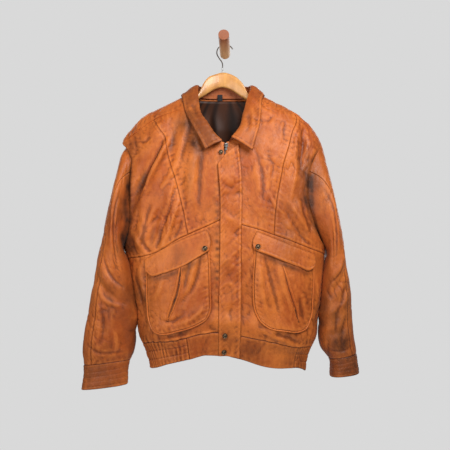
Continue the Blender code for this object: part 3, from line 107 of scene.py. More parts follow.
class JacketColours(PropertyGroup):
    """Colours of the leather, cloth, wood and metal, in linear light."""
    leather: colour("Leather", "Main colour of the leather", (0.485, 0.096, 0.0132))
    rubbed: colour("Rubbed leather", "Leather on rubbed ridges", (0.860, 0.240, 0.040))
    # The creased colour also paints shade in the hollows of folds.
    creased: colour("Creased leather", "Leather in creases and seams", (0.088, 0.016, 0.004))
    # The stain colour also paints shade: in folds, under the pocket flaps, round the armholes,
    # beside the collar and in the lining's folds.
    stain: colour("Stain", "Old grease and dirt", (0.060, 0.018, 0.007))
    facing: colour("Facing", "Leather inside the neck", (0.460, 0.120, 0.036))
    thread: colour("Thread", "Sewing thread", (0.700, 0.270, 0.100))
    satin: colour("Satin", "Lining cloth", (0.088, 0.027, 0.010))
    tape: colour("Tape", "Zip tape and loop", (0.010, 0.010, 0.012))
    hanger: colour("Hanger wood", "Light varnished wood", (0.860, 0.430, 0.130))
    hanger_grain: colour("Hanger grain", "Darker lines in the light wood", (0.640, 0.280, 0.080))
    peg: colour("Peg wood", "Side of the peg", (1.000, 0.560, 0.250))
    peg_tip: colour("Peg tip", "End grain of the peg", (0.330, 0.098, 0.036))
    steel: colour("Steel", "Hook, zip slider and pull", (0.430, 0.425, 0.410))
    brass: colour("Brass", "Press studs", (0.105, 0.072, 0.045))


class JacketStage(PropertyGroup):
    """Light and backdrop."""
    backdrop: colour("Backdrop", "Plain grey behind the jacket", (0.694, 0.694, 0.694))
    room: FloatProperty(name="Room light", description="Light that the room gives back",
                        default=0.23, min=0.0, max=2.0)
    key: watts("Key light", "Power of the large soft light", 29.5)
    fill: watts("Fill light", "Power of the second light", 13.0)
    back: watts("Back lights", "Power of the lights behind", 15.0)
    peg: watts("Peg light", "Power of the narrow light on the peg", 15.0)


# Lines and surfaces
class Track:
    """A smooth line through stations (t, value, ...), read at any t."""

    def __init__(self, *stations):
        table = np.array(sorted(stations), float)
        self.t, self.v = table[:, 0], table[:, 1:]
        step = np.diff(self.t)[:, None]
        slope = np.diff(self.v, axis=0) / step
        inner = (step[1:] * slope[:-1] + step[:-1] * slope[1:]) / (step[1:] + step[:-1])
        self.m = np.vstack([slope[:1], inner, slope[-1:]])

    def __call__(self, t):
        t = np.clip(np.asarray(t, float), self.t[0], self.t[-1])
        i = np.clip(np.searchsorted(self.t, t, side="right") - 1, 0, len(self.t) - 2)
        width = self.t[i + 1] - self.t[i]
        u = ((t - self.t[i]) / width)[..., None]
        width = width[..., None]
        value = ((1 + 2 * u) * (1 - u) ** 2 * self.v[i] + u * (1 - u) ** 2 * width * self.m[i]
                 + u * u * (3 - 2 * u) * self.v[i + 1] + u * u * (u - 1) * width * self.m[i + 1])
        return value[..., 0] if value.shape[-1] == 1 else value


def path(*points):
    """A smooth line through points, read from 0 at the first to 1 at the last."""
    points = np.array(points, float)
    run = np.concatenate([[0], np.cumsum(np.linalg.norm(np.diff(points, axis=0), axis=1))])
    return Track(*[(t, *p) for t, p in zip(run / run[-1], points)])


def power(value, exponent):
    return np.sign(value) * np.abs(value) ** exponent


def unit(vectors):
    return vectors / np.maximum(np.linalg.norm(vectors, axis=-1, keepdims=True), 1e-12)


WIDTH_POWER, DEPTH_POWER, SLEEVE_POWER = 2.6, 2.1, 2.3
HALF_WIDTH = {
    "left": Track((-0.085, 0.030), (-0.100, 0.060), (-0.110, 0.080), (-0.120, 0.100),
                  (-0.135, 0.127), (-0.150, 0.157), (-0.164, 0.186), (-0.179, 0.208),
                  (-0.194, 0.221), (-0.208, 0.233), (-0.223, 0.240), (-0.240, 0.244),
                  (-0.300, 0.245), (-0.400, 0.245), (-0.450, 0.247), (-0.490, 0.247),
                  (-0.520, 0.236), (-0.567, 0.2275), (-0.620, 0.2195), (-0.662, 0.214),
                  (-0.706, 0.204), (-0.750, 0.190), (-0.779, 0.1825), (-0.810, 0.180)),
    "right": Track((-0.085, 0.026), (-0.100, 0.054), (-0.110, 0.070), (-0.120, 0.088),
                   (-0.135, 0.122), (-0.150, 0.152), (-0.164, 0.178), (-0.179, 0.194),
                   (-0.194, 0.208), (-0.208, 0.218), (-0.223, 0.228), (-0.240, 0.236),
                   (-0.300, 0.240), (-0.400, 0.241), (-0.450, 0.242), (-0.490, 0.244),
                   (-0.511, 0.241), (-0.560, 0.2365), (-0.604, 0.2335), (-0.660, 0.227),
                   (-0.700, 0.220), (-0.720, 0.214), (-0.735, 0.207), (-0.764, 0.1995),
                   (-0.791, 0.197), (-0.820, 0.194)),
}
MIDDLE = Track((-0.08, -0.080), (-0.25, -0.080), (-0.40, -0.085), (-0.60, -0.086), (-0.85, -0.086))
DEPTH_FRONT = Track((-0.08, 0.016), (-0.10, 0.020), (-0.12, 0.030), (-0.15, 0.045), (-0.20, 0.061),
                    (-0.25, 0.070), (-0.35, 0.076), (-0.45, 0.079), (-0.62, 0.081),
                    (-0.70, 0.078), (-0.74, 0.070), (-0.80, 0.066))
DEPTH_BACK = Track((-0.08, 0.042), (-0.10, 0.046), (-0.12, 0.050), (-0.15, 0.057), (-0.20, 0.064),
                   (-0.25, 0.068), (-0.35, 0.074), (-0.45, 0.078), (-0.62, 0.079),
                   (-0.70, 0.077), (-0.74, 0.070), (-0.80, 0.066))
# Waistband edges by angle in degrees: 0 is the centre front, 180 the centre back
HEM = Track((-180, -0.762), (-135, -0.768), (-90, -0.782), (-59, -0.777), (-42, -0.767),
            (-20, -0.753), (-8, -0.743), (0, -0.745), (6, -0.752), (17, -0.766), (60, -0.779),
            (90, -0.790), (135, -0.772), (180, -0.762))
BAND_TOP = Track((-180, -0.705), (-135, -0.712), (-90, -0.723), (-57, -0.715), (-26, -0.706),
                 (-11, -0.692), (-2, -0.687), (7, -0.697), (24, -0.711), (46, -0.726),
                 (67, -0.728), (90, -0.731), (135, -0.714), (180, -0.705))
BLOUSE_HEIGHT, BLOUSE_REACH = 0.0045, 0.026

# Large folds as lines of (x, z) with a half width and a height out of the skin
FRONT_FOLDS = [
    (0.013, 0.0120, [(-0.137, -0.243), (-0.155, -0.276), (-0.180, -0.322), (-0.208, -0.385)]),
    (0.012, -0.0100, [(-0.158, -0.250), (-0.176, -0.283), (-0.198, -0.330), (-0.222, -0.400)]),
    (0.014, -0.0060, [(-0.108, -0.185), (-0.122, -0.225), (-0.128, -0.262), (-0.142, -0.290)]),
    (0.016, 0.0050, [(-0.142, -0.178), (-0.160, -0.205), (-0.166, -0.232)]),
    (0.014, 0.0050, [(-0.075, -0.250), (-0.082, -0.320), (-0.070, -0.400)]),
    (0.012, -0.0045, [(-0.100, -0.290), (-0.106, -0.345), (-0.098, -0.410)]),
    (0.012, 0.0055, [(-0.135, -0.330), (-0.128, -0.385), (-0.132, -0.440)]),
    (0.010, -0.0070, [(-0.150, -0.395), (-0.165, -0.430), (-0.170, -0.458), (-0.180, -0.490)]),
    (0.012, 0.0070, [(-0.190, -0.420), (-0.196, -0.455), (-0.210, -0.487)]),
    (0.011, 0.0050, [(0.176, -0.196), (0.168, -0.235), (0.163, -0.292)]),
    (0.010, -0.0050, [(0.188, -0.206), (0.186, -0.245), (0.180, -0.300)]),
    (0.014, 0.0040, [(0.090, -0.290), (0.085, -0.350), (0.092, -0.420)]),
    (0.016, -0.0040, [(0.128, -0.300), (0.136, -0.370), (0.150, -0.440)]),
    (0.016, 0.0050, [(0.170, -0.380), (0.186, -0.430), (0.205, -0.480)]),
]
BACK_FOLDS = [
    (0.020, 0.0050, [(-0.150, -0.250), (-0.165, -0.330), (-0.185, -0.430)]),
    (0.020, 0.0050, [(0.150, -0.255), (0.168, -0.335), (0.185, -0.430)]),
    (0.022, -0.0050, [(-0.110, -0.300), (-0.120, -0.400), (-0.110, -0.500)]),
    (0.022, -0.0050, [(0.112, -0.310), (0.120, -0.410), (0.116, -0.520)]),
    (0.024, 0.0035, [(-0.040, -0.480), (-0.046, -0.580), (-0.038, -0.670)]),
    (0.024, 0.0035, [(0.055, -0.500), (0.050, -0.590), (0.060, -0.680)]),
    (0.020, -0.0040, [(0.170, -0.560), (0.160, -0.620), (0.165, -0.680)]),
    (0.020, -0.0040, [(-0.165, -0.540), (-0.158, -0.610), (-0.160, -0.670)]),
]
# Sharper creases of the fronts, which only the finished leather has
FRONT_CREASES = [
    (0.0060, 0.0050, [(-0.128, -0.222), (-0.144, -0.252), (-0.162, -0.286), (-0.190, -0.334)]),
    (0.0060, -0.0070, [(-0.146, -0.232), (-0.158, -0.264), (-0.178, -0.303), (-0.206, -0.356)]),
    (0.0070, -0.0030, [(-0.078, -0.168), (-0.085, -0.206), (-0.092, -0.239), (-0.107, -0.282)]),
    (0.0090, 0.0025, [(-0.066, -0.187), (-0.069, -0.246), (-0.076, -0.305), (-0.083, -0.376)]),
    (0.0070, -0.0025, [(-0.052, -0.258), (-0.058, -0.329), (-0.061, -0.400)]),
    (0.0065, 0.0030, [(-0.107, -0.258), (-0.116, -0.2935), (-0.135, -0.329), (-0.154, -0.353)]),
    (0.0050, -0.0040, [(-0.116, -0.343), (-0.128, -0.388), (-0.147, -0.436), (-0.159, -0.478),
                       (-0.173, -0.506)]),
    (0.0060, 0.0035, [(-0.104, -0.348), (-0.116, -0.400), (-0.133, -0.452), (-0.154, -0.500)]),
    (0.0050, -0.0025, [(-0.092, -0.376), (-0.104, -0.436), (-0.121, -0.475)]),
    (0.0050, -0.0040, [(-0.201, -0.471), (-0.182, -0.495), (-0.163, -0.504)]),
    (0.0060, 0.0035, [(-0.222, -0.452), (-0.203, -0.480), (-0.190, -0.497)]),
    (0.0060, -0.0030, [(-0.178, -0.388), (-0.190, -0.436), (-0.194, -0.475)]),
    (0.0060, -0.0025, [(0.071, -0.258), (0.088, -0.317), (0.090, -0.388)]),
    (0.0060, 0.0030, [(0.173, -0.206), (0.171, -0.258), (0.166, -0.317), (0.154, -0.376)]),
    (0.0055, -0.0030, [(0.187, -0.206), (0.185, -0.258), (0.178, -0.310)]),
    (0.0055, -0.0035, [(0.137, -0.388), (0.159, -0.429), (0.185, -0.4665), (0.206, -0.488)]),
    (0.0060, 0.0030, [(0.147, -0.376), (0.173, -0.414), (0.199, -0.452)]),
    (0.0050, -0.0030, [(0.178, -0.365), (0.192, -0.412), (0.208, -0.452)]),
    (0.0050, 0.0022, [(0.102, -0.353), (0.118, -0.388), (0.137, -0.412)]),
    (0.0050, -0.0025, [(-0.215, -0.560), (-0.203, -0.600), (-0.196, -0.640)]),
    (0.0060, 0.0030, [(-0.206, -0.530), (-0.198, -0.570), (-0.190, -0.620)]),
    (0.0050, -0.0028, [(0.118, -0.690), (0.150, -0.702), (0.176, -0.716)]),
    (0.0055, 0.0028, [(0.090, -0.684), (0.118, -0.700), (0.150, -0.716)]),
    (0.0050, -0.0025, [(-0.090, -0.692), (-0.120, -0.698), (-0.150, -0.704)]),
    (0.0055, 0.0025, [(0.216, -0.560), (0.220, -0.610), (0.212, -0.670)]),
]
POCKET_CREASES = [
    (0.0060, -0.0028, [(-0.055, -0.500), (-0.0695, -0.569), (-0.101, -0.619)]),
    (0.0060, -0.0020, [(-0.079, -0.510), (-0.089, -0.555), (-0.096, -0.5885)]),
    (0.0070, 0.0028, [(-0.046, -0.6237), (-0.0695, -0.6495), (-0.103, -0.668)]),
    (0.0055, -0.0022, [(-0.094, -0.645), (-0.1156, -0.659), (-0.145, -0.6636)]),
    (0.0070, 0.0025, [(-0.145, -0.555), (-0.1525, -0.5885), (-0.167, -0.612)]),
    (0.0060, 0.0028, [(-0.063, -0.505), (-0.077, -0.560), (-0.090, -0.605)]),
    (0.0060, -0.0028, [(0.0907, -0.505), (0.107, -0.566), (0.128, -0.6505)]),
    (0.0070, 0.0028, [(0.1236, -0.520), (0.1377, -0.586), (0.159, -0.641)]),
    (0.0070, 0.0030, [(0.0800, -0.520), (0.0850, -0.586), (0.1000, -0.6505)]),
    (0.0050, -0.0018, [(0.1720, -0.600), (0.1800, -0.640), (0.1840, -0.665)]),
]
# Painted shade in the folds of the fronts and along the edges of the parts on them, as lines of (x,
# z) on the fronts
PAINTED_SHADE_LINES = [
    (0.0065, 0.75, [(-0.108, -0.180), (-0.120, -0.218), (-0.126, -0.249), (-0.139, -0.268)]),
    (0.0070, 0.90, [(-0.152, -0.251), (-0.173, -0.286), (-0.197, -0.331), (-0.228, -0.420)]),
    (0.0075, 1.00, [(-0.231, -0.274), (-0.232, -0.327), (-0.235, -0.375), (-0.228, -0.428)]),
    (0.0085, 1.10, [(-0.228, -0.420), (-0.240, -0.472), (-0.230, -0.491), (-0.222, -0.502)]),
    (0.0055, 0.60, [(-0.148, -0.398), (-0.165, -0.429), (-0.176, -0.490)]),
    (0.0050, 0.50, [(-0.153, -0.417), (-0.155, -0.485)]),
    (0.0055, 0.60, [(0.182, -0.197), (0.175, -0.228), (0.172, -0.294)]),
    (0.0055, 0.55, [(0.191, -0.214), (0.200, -0.294)]),
    (0.0110, 1.10, [(0.188, -0.300), (0.192, -0.340), (0.200, -0.388)]),
    (0.0070, 0.80, [(0.195, -0.388), (0.217, -0.452), (0.237, -0.494)]),
    (0.0050, 1.00, [(-0.0200, -0.300), (-0.0180, -0.480), (-0.0195, -0.640), (-0.0200, -0.735)]),
    (0.0120, 0.80, [(-0.092, -0.180), (-0.082, -0.205), (-0.073, -0.235), (-0.062, -0.268)]),
    (0.0060, 0.50, [(-0.070, -0.270), (-0.080, -0.330), (-0.074, -0.385)]),
    (0.0060, 0.40, [(-0.056, -0.270), (-0.058, -0.340), (-0.060, -0.400)]),
    (0.0060, 0.65, [(-0.164, -0.695), (-0.110, -0.691), (-0.070, -0.678), (-0.042, -0.662)]),
    (0.0060, 0.65, [(0.194, -0.687), (0.174, -0.6945), (0.140, -0.691), (0.105, -0.684),
                    (0.080, -0.668)]),
    (0.0050, 0.60, [(-0.190, -0.560), (-0.189, -0.611), (-0.183, -0.665)]),
    (0.0050, 0.50, [(-0.034, -0.500), (-0.031, -0.600), (-0.036, -0.650)]),
    (0.0050, 0.55, [(0.063, -0.510), (0.061, -0.587), (0.068, -0.645)]),
]
# Painted shadow under the pocket flaps, as lines of (x, z) on the pockets
FLAP_SHADOW_LINES = [
    (0.0065, 0.75, [(-0.186, -0.552), (-0.169, -0.5635), (-0.145, -0.557), (-0.105, -0.543),
                    (-0.060, -0.518), (-0.038, -0.503)]),
    (0.0065, 0.75, [(0.209, -0.542), (0.197, -0.550), (0.170, -0.541), (0.139, -0.529),
                    (0.100, -0.513), (0.067, -0.501)]),
]
FOLD_SAMPLES = 26


def fold_table(folds):
    """Each fold as finely spaced points along its line, fading at both ends."""
    t = np.linspace(0, 1, FOLD_SAMPLES)
    fade = np.sin(np.pi * np.clip(t, 0.02, 0.98)) ** 0.6
    return [(width, height, path(*line)(t), fade) for width, height, line in folds]


FRONT_TABLE, BACK_TABLE = fold_table(FRONT_FOLDS), fold_table(BACK_FOLDS)
CREASE_TABLE, POCKET_TABLE = fold_table(FRONT_CREASES), fold_table(POCKET_CREASES)
PAINTED_SHADE_TABLE, FLAP_SHADOW_TABLE = fold_table(PAINTED_SHADE_LINES), fold_table(FLAP_SHADOW_LINES)


def fold_height(x, z, table):
    total = np.zeros(np.shape(x))
    for width, height, points, fade in table:
        apart = (x[..., None] - points[:, 0]) ** 2 + (z[..., None] - points[:, 1]) ** 2
        total += height * np.max(fade * np.exp(-apart / width ** 2), axis=-1)
    return total


def half_width(z, right):
    return np.where(right, HALF_WIDTH["right"](z), HALF_WIDTH["left"](z))


def smooth_skin(a, z):
    """The jacket's skin without folds, at an angle a (radians, 0 = centre front)."""
    s, c = np.sin(a), np.cos(a)
    x = half_width(z, s >= 0) * power(s, 2 / WIDTH_POWER)
    depth = np.where(c > 0, DEPTH_FRONT(z), DEPTH_BACK(z))
    return np.stack([x, MIDDLE(z) - depth * power(c, 2 / DEPTH_POWER), z], axis=-1)


def outward(surface, u, v, reach=0.0005):
    across = surface(u + reach * 4, v) - surface(u - reach * 4, v)
    up = surface(u, v + reach) - surface(u, v - reach)
    return unit(np.cross(across, up))


def wrapped_degrees(a):
    return np.degrees((a + np.pi) % (2 * np.pi) - np.pi)


def folded_skin(a, z):
    base = smooth_skin(a, z)
    facing = np.clip(np.cos(a) * 4, -1, 1)
    above = z - BAND_TOP(wrapped_degrees(a))
    rise = (np.clip(facing, 0, 1) * fold_height(base[..., 0], z, FRONT_TABLE)
            + np.clip(-facing, 0, 1) * fold_height(base[..., 0], z, BACK_TABLE)
            + BLOUSE_HEIGHT * np.exp(-((above - BLOUSE_REACH) / BLOUSE_REACH) ** 2))
    return base + outward(smooth_skin, a, z) * rise[..., None]


def front_angle(x, z):
    """The angle whose point of the front lies at x."""
    share = np.clip(np.abs(x) / half_width(z, np.asarray(x) >= 0), 0, 1)
    return np.sign(x) * np.arcsin(share ** (WIDTH_POWER / 2))


def seam(*points):
    """A smooth line through (angle, height) points, read by its length along the skin."""
    points = np.array(points, float)
    places = smooth_skin(points[:, 0], points[:, 1])
    run = np.concatenate([[0], np.cumsum(np.linalg.norm(np.diff(places, axis=0), axis=1))])
    return Track(*[(t, *p) for t, p in zip(run / run[-1], points)])


def on_front(side, points):
    """(x, z) points of one front, x counted from the centre, as angles and heights."""
    x, z = np.array(points, float).T
    return list(zip(front_angle(SIDES[side] * x, z), z))


def degree_line(side, *points):
    return seam(*[(SIDES[side] * math.radians(a), z) for a, z in points])


def joined(*parts):
    """Lines end to end, each over its own share of 0 to 1: (share, line), ..."""
    ends = np.cumsum([0] + [share for share, _ in parts])

    def read(t):
        t = np.asarray(t, float)
        result = np.zeros(t.shape + (2,))
        for (share, line), start in zip(parts, ends[:-1]):
            local = np.clip((t - start) / share, 0, 1)
            result = np.where((t >= start - 1e-9)[..., None], line(local), result)
        return result
    return read


def piece_of(line, start, end):
    return lambda t: line(start + (end - start) * np.asarray(t, float))


def coons(top, bottom, left, right, v, u):
    """Points of a four-sided patch between its boundary lines at shares v down and u across."""
    u, v = u[None, :, None], v[:, None, None]
    t, b = top(u[0, :, 0])[None], bottom(u[0, :, 0])[None]
    l, r = left(v[:, 0, 0])[:, None], right(v[:, 0, 0])[:, None]
    corners = ((1 - u) * (1 - v) * t[:, :1] + u * (1 - v) * t[:, -1:]
               + (1 - u) * v * b[:, :1] + u * v * b[:, -1:])
    grid = (1 - v) * t + v * b + (1 - u) * l + u * r - corners
    return grid[..., 0], grid[..., 1]


# Seam lines, as in the model's solids
SHOULDER_TIP = {"left": -0.238, "right": -0.240}
UNDERARM = -0.494
YOKE_AT_SIDE = {"left": -0.518, "right": -0.512}
PANEL_TOP = {"left": 0.48, "right": 0.49}
CENTRE_SHARE = 7 / 16
CENTRE_GAP = 0.0024
V_BOTTOM = -0.2400
YOKE_CENTRE = {"left": -0.4210, "right": -0.4260}
SHOULDER_SEAM = {
    "left": [(0.079, -0.146), (0.125, -0.164), (0.173, -0.184), (0.205, -0.203), (0.228, -0.222)],
    "right": [(0.077, -0.145), (0.122, -0.1585), (0.165, -0.165), (0.195, -0.187),
              (0.218, -0.213)],
}
NECKLINE = {
    "left": [(0.030, -0.226), (0.050, -0.203), (0.066, -0.176)],
    "right": [(0.032, -0.224), (0.050, -0.200), (0.064, -0.174)],
}
PANEL_SEAM = {
    "left": [(0.143, -0.226), (0.139, -0.250), (0.132, -0.283), (0.120, -0.318), (0.104, -0.380)],
    "right": [(0.161, -0.212), (0.148, -0.260), (0.140, -0.285), (0.132, -0.330), (0.121, -0.390)],
}
YOKE_AT_PANEL = {"left": (0.0870, -0.4580), "right": (0.1160, -0.4590)}
YOKE = {"left": [(0.042, -0.438)], "right": [(0.042, -0.436), (0.075, -0.445)]}
YOKE_OUTER = {
    "left": [(0.1055, -0.4660), (0.160, -0.499), (0.195, -0.510)],
    "right": [(0.145, -0.4690), (0.215, -0.4960)],
}
ARMHOLE_FRONT = {
    "left": [(90, -0.238), (74, -0.250), (67, -0.275), (68, -0.310), (70, -0.350), (70, -0.390),
             (68, -0.425), (71, -0.460), (79, -0.484), (90, UNDERARM)],
    "right": [(90, -0.240), (70, -0.256), (59, -0.285), (53, -0.325), (52, -0.360), (54, -0.395),
              (59, -0.425), (66, -0.455), (76, -0.482), (90, UNDERARM)],
}
ARMHOLE_BACK = [(110, -0.255), (120, -0.295), (123, -0.350), (121, -0.400), (114, -0.450),
                (103, -0.483)]
BACK_NECK = [(45, -0.1275), (65, -0.1165), (90, -0.1125), (120, -0.1165), (150, -0.1205),
             (180, -0.1215), (210, -0.1205), (240, -0.1165), (270, -0.1115), (295, -0.1150),
             (315, -0.1260)]


def shoulder_line(side):
    """The shoulder seam from the neck to the tip, in two runs that meet at the panel seam."""
    line = seam(*on_front(side, SHOULDER_SEAM[side]),
                (SIDES[side] * math.pi / 2, SHOULDER_TIP[side]))
    return joined((CENTRE_SHARE, piece_of(line, 0, PANEL_TOP[side])),
                  (1 - CENTRE_SHARE, piece_of(line, PANEL_TOP[side], 1)))


def yoke_line(side):
    inner = seam(*on_front(side, [(CENTRE_GAP / 2, YOKE_CENTRE[side]), *YOKE[side],
                                  YOKE_AT_PANEL[side]]))
    outer = seam(*on_front(side, [YOKE_AT_PANEL[side], *YOKE_OUTER[side]]),
                 (SIDES[side] * math.pi / 2, YOKE_AT_SIDE[side]))
    return inner, outer


def panel_line(side):
    return seam(shoulder_line(side)(CENTRE_SHARE),
                *on_front(side, [*PANEL_SEAM[side], YOKE_AT_PANEL[side]]))


def centre_line(side, top, bottom):
    return seam(*on_front(side, [(CENTRE_GAP / 2, z) for z in np.linspace(top, bottom, 5)]))


def neck_line(side):
    return seam(shoulder_line(side)(0.0),
                *on_front(side, [*NECKLINE[side][::-1], (CENTRE_GAP / 2, V_BOTTOM)]))


def band_line(side, first, last):
    def read(t):
        degrees = SIDES[side] * (first + (last - first) * np.asarray(t, float))
        return np.stack([np.radians(degrees), BAND_TOP(degrees)], axis=-1)
    return read


def armhole_back(side):
    return degree_line(side, (90, SHOULDER_TIP[side]), *ARMHOLE_BACK, (90, UNDERARM))


# Surface detail
def noise_field(points, reach, stretch=(1, 1, 1), seed=0):
    """Smooth noise at each point, its lumps as wide as reach."""
    places = (points.reshape(-1, 3) * (np.array(stretch) / reach) + 13.7 * (seed + 1)).tolist()
    return np.fromiter(map(noise.noise, places), float, len(places)).reshape(points.shape[:-1])


def creased(points, depth, seed, stretch=(1.15, 1, 0.42)):
    """The small hollows of worn leather: soft swells crossed by thin creases."""
    bent = points + 0.016 * noise_field(points, 0.050, (1, 1, 1), seed + 3)[..., None]
    swell = noise_field(bent, 0.060, stretch, seed) * 1.5
    here = np.clip(0.35 + 1.9 * noise_field(points, 0.060, (1, 1, 1), seed + 7), 0, 1)
    lines = np.clip(1 - 3.4 * np.abs(noise_field(bent, 0.040, stretch, seed + 5)), 0, 1) ** 2
    fine = np.clip(1 - 2.8 * np.abs(noise_field(bent, 0.015, (1, 1, 0.7), seed + 9)), 0, 1) ** 2
    return depth * (swell - 0.85 * lines * here - 0.62 * fine * (0.35 + 0.65 * here))


def blurred(field, passes):
    for _ in range(passes):
        padded = np.pad(field, 1, mode="edge")
        field = (padded[:-2, 1:-1] + padded[2:, 1:-1] + padded[1:-1, :-2] + padded[1:-1, 2:]
                 + 2 * field) / 6
    return field


def run_along(points, axis):
    """Length from the first point along each row or column, to every point."""
    step = np.linalg.norm(np.diff(points, axis=axis), axis=-1)
    start = np.zeros_like(np.take(step, [0], axis=axis))
    return np.concatenate([start, np.cumsum(step, axis=axis)], axis=axis)


FINE_LINES = (0.0006, 0.0015, 0.0026, 0.0042, 0.0062)   # grid lines beside an edge


def spaced(length, step):
    """Shares of a length for a grid's lines, closer together beside both ends."""
    ends = [0.0, *[d for d in FINE_LINES if d < length / 3]]
    inner = ends[-1]
    count = max(2, round((length - 2 * inner) / step))
    middle = np.linspace(inner, length - inner, count + 1)
    return np.concatenate([ends[:-1], middle, length - np.array(ends[:-1])[::-1]]) / length


STITCH_ROWS = {"plain": (), "single": (0.0024,), "double": (0.0024, 0.0078)}
SEAM_DROP, SEAM_SWELL, ROW_DROP, GROOVE = 0.0011, 0.0007, 0.0006, 0.0011
PUCKER_LENGTH, PUCKER_REACH, PUCKER_START = 0.0125, 0.011, 0.0035


def seam_profile(distance, rows):
    """How the leather falls away at a seam and is drawn in along its rows of stitches."""
    drop = -SEAM_DROP * np.exp(-(distance / GROOVE) ** 2)
    if rows:
        far = rows[-1]
        drop += SEAM_SWELL * np.exp(-((distance - far * 0.5) / (far * 0.45)) ** 2)
        for row in rows:
            drop -= ROW_DROP * np.exp(-((distance - row) / GROOVE) ** 2)
    return drop


def seam_pucker(distance, along, height, seed):
    """Short waves across a seam, which fade within a finger's width."""
    phase = along / PUCKER_LENGTH * 2 * math.pi
    wave = np.sin(phase + 2.2 * np.sin(along / 0.047 + seed) + seed)
    return height * wave * np.exp(-distance / PUCKER_REACH) * (1 - np.exp(-distance / PUCKER_START))


class Cloth:
    """A grid of finished leather: its points, the way out, and what the material reads."""

    def __init__(self, base, out, stitched=None, ring=False, quiet=()):
        stitched = stitched or {}
        self.base, self.out, self.ring, self.quiet = base, out, ring, quiet
        self.rows = {edge: STITCH_ROWS[stitched.get(edge, "plain")]
                     for edge in ("top", "bottom", "left", "right")}
        across, down = run_along(base, 1), run_along(base, 0)
        self.distance = {"left": across, "right": across[:, -1:] - across, "top": down,
                         "bottom": down[-1:] - down}
        self.along = {"left": down, "right": down, "top": across, "bottom": across}
        self.lift = np.zeros(base.shape[:2])
        # Old stains together with painted shade, for the material to darken by.
        self.stain = np.zeros(base.shape[:2])

    def edges(self):
        return ("top", "bottom") if self.ring else ("top", "bottom", "left", "right")

    def sew(self, pucker, seed=0):
        for number, edge in enumerate(self.edges()):
            self.lift += seam_profile(self.distance[edge], self.rows[edge]) * (
                0.3 if edge in self.quiet else 1)
            self.lift += seam_pucker(self.distance[edge], self.along[edge], pucker,
                                     seed + 1.7 * number)
        return self

    def points(self):
        return self.base + self.out * self.lift[..., None]

    def edge_distance(self):
        return np.minimum.reduce([self.distance[edge] + (0.02 if edge in self.quiet else 0)
                                  for edge in self.edges()])

    def stitch_lines(self):
        """Each row of stitches as points and ways out, at its distance from its edge."""
        points, lines = self.points(), []
        for edge in self.edges():
            for row in self.rows[edge]:
                distance = self.distance[edge]
                if edge in ("left", "right"):
                    picked = [self.at_distance(points[i], distance[i], row, i, None)
                              for i in range(len(points))]
                else:
                    picked = [self.at_distance(points[:, j], distance[:, j], row, None, j)
                              for j in range(points.shape[1])]
                lines.append(tuple(np.array(part) for part in zip(*picked)))
        return lines

    def at_distance(self, points, distance, row, i, j):
        order = np.argsort(distance)
        out = self.out[i] if j is None else self.out[:, j]
        place = [np.interp(row, distance[order], points[order, k]) for k in range(3)]
        way = [np.interp(row, distance[order], out[order, k]) for k in range(3)]
        return place, unit(np.array(way))


def grid_faces(rows, columns, ring, start=0, turn=False):
    """Quads of a grid as an array of corners, wound outwards or turned round."""
    i, j = np.meshgrid(np.arange(rows - 1), np.arange(columns if ring else columns - 1),
                       indexing="ij")
    i, j, k = i.ravel(), j.ravel(), (j.ravel() + 1) % columns
    corners = [i * columns + j, (i + 1) * columns + j, (i + 1) * columns + k, i * columns + k]
    return np.stack(corners[::-1] if turn else corners, axis=1) + start


def rim_faces(loop, offset, turn):
    """Quads between a loop of the outer grid and the same loop of the inner one."""
    a, b = loop[:-1], loop[1:]
    corners = [a, b, b + offset, a + offset]
    return np.stack(corners[::-1] if turn else corners, axis=1)


def mesh_from(name, points, faces, attributes):
    mesh = bpy.data.meshes.new(name)
    mesh.vertices.add(len(points))
    mesh.vertices.foreach_set("co", np.ascontiguousarray(points, np.float32).ravel())
    mesh.loops.add(faces.size)
    mesh.loops.foreach_set("vertex_index", faces.ravel().astype(np.int32))
    mesh.polygons.add(len(faces))
    mesh.polygons.foreach_set("loop_start", np.arange(0, faces.size, 4, dtype=np.int32))
    mesh.update(calc_edges=True)
    for label, values in attributes.items():
        write_attribute(mesh, label, values)
    return mesh


# The darkening this gives in hollows is painted shade, with some patina.
HOLLOW_DEPTH = 0.0007   # a dip this deep takes the full colour of a crease


def write_attribute(mesh, label, values):
    layer = mesh.attributes.new(label, "FLOAT", "POINT")
    layer.data.foreach_set("value", np.asarray(values, np.float32).ravel())


def shell(cloth, name, thickness, material, node):
    """A closed wall from a cloth's outer grid and its inner copy, riding on the jacket."""
    outer = cloth.points()
    inner = outer - cloth.out * thickness
    rows, columns = outer.shape[:2]
    count = rows * columns
    index = np.arange(count).reshape(rows, columns)
    faces = [grid_faces(rows, columns, cloth.ring),
             grid_faces(rows, columns, cloth.ring, count, turn=True)]
    if cloth.ring:
        loops = [(np.append(index[0], index[0, 0]), False),
                 (np.append(index[-1], index[-1, 0]), True)]
    else:
        loops = [(index[0], False), (index[-1], True), (index[:, 0], True), (index[:, -1], False)]
    faces += [rim_faces(loop, count, turn) for loop, turn in loops]
    i, j = rows // 2, columns // 2
    facing = np.cross(outer[i + 1, j] - outer[i, j], outer[i, j + 1] - outer[i, j])
    if facing @ cloth.out[i, j] < 0:
        faces = [face[:, ::-1] for face in faces]
    lift = cloth.lift
    hollow = np.clip((0.6 * (blurred(lift, 4) - lift) + 0.4 * (blurred(lift, 12) - lift))
                     / HOLLOW_DEPTH, -1, 1)
    attributes = {"hollow": hollow, "edge": cloth.edge_distance(),
                  "stain": np.clip(cloth.stain, 0, 1)}
    doubled = {key: np.tile(value.ravel(), 2) for key, value in attributes.items()}
    mesh = mesh_from(name, np.concatenate([outer.reshape(-1, 3), inner.reshape(-1, 3)]),
                     np.concatenate(faces), doubled)
    piece = placed(name, mesh, material, node)
    *flat, area = flat_size(cloth)


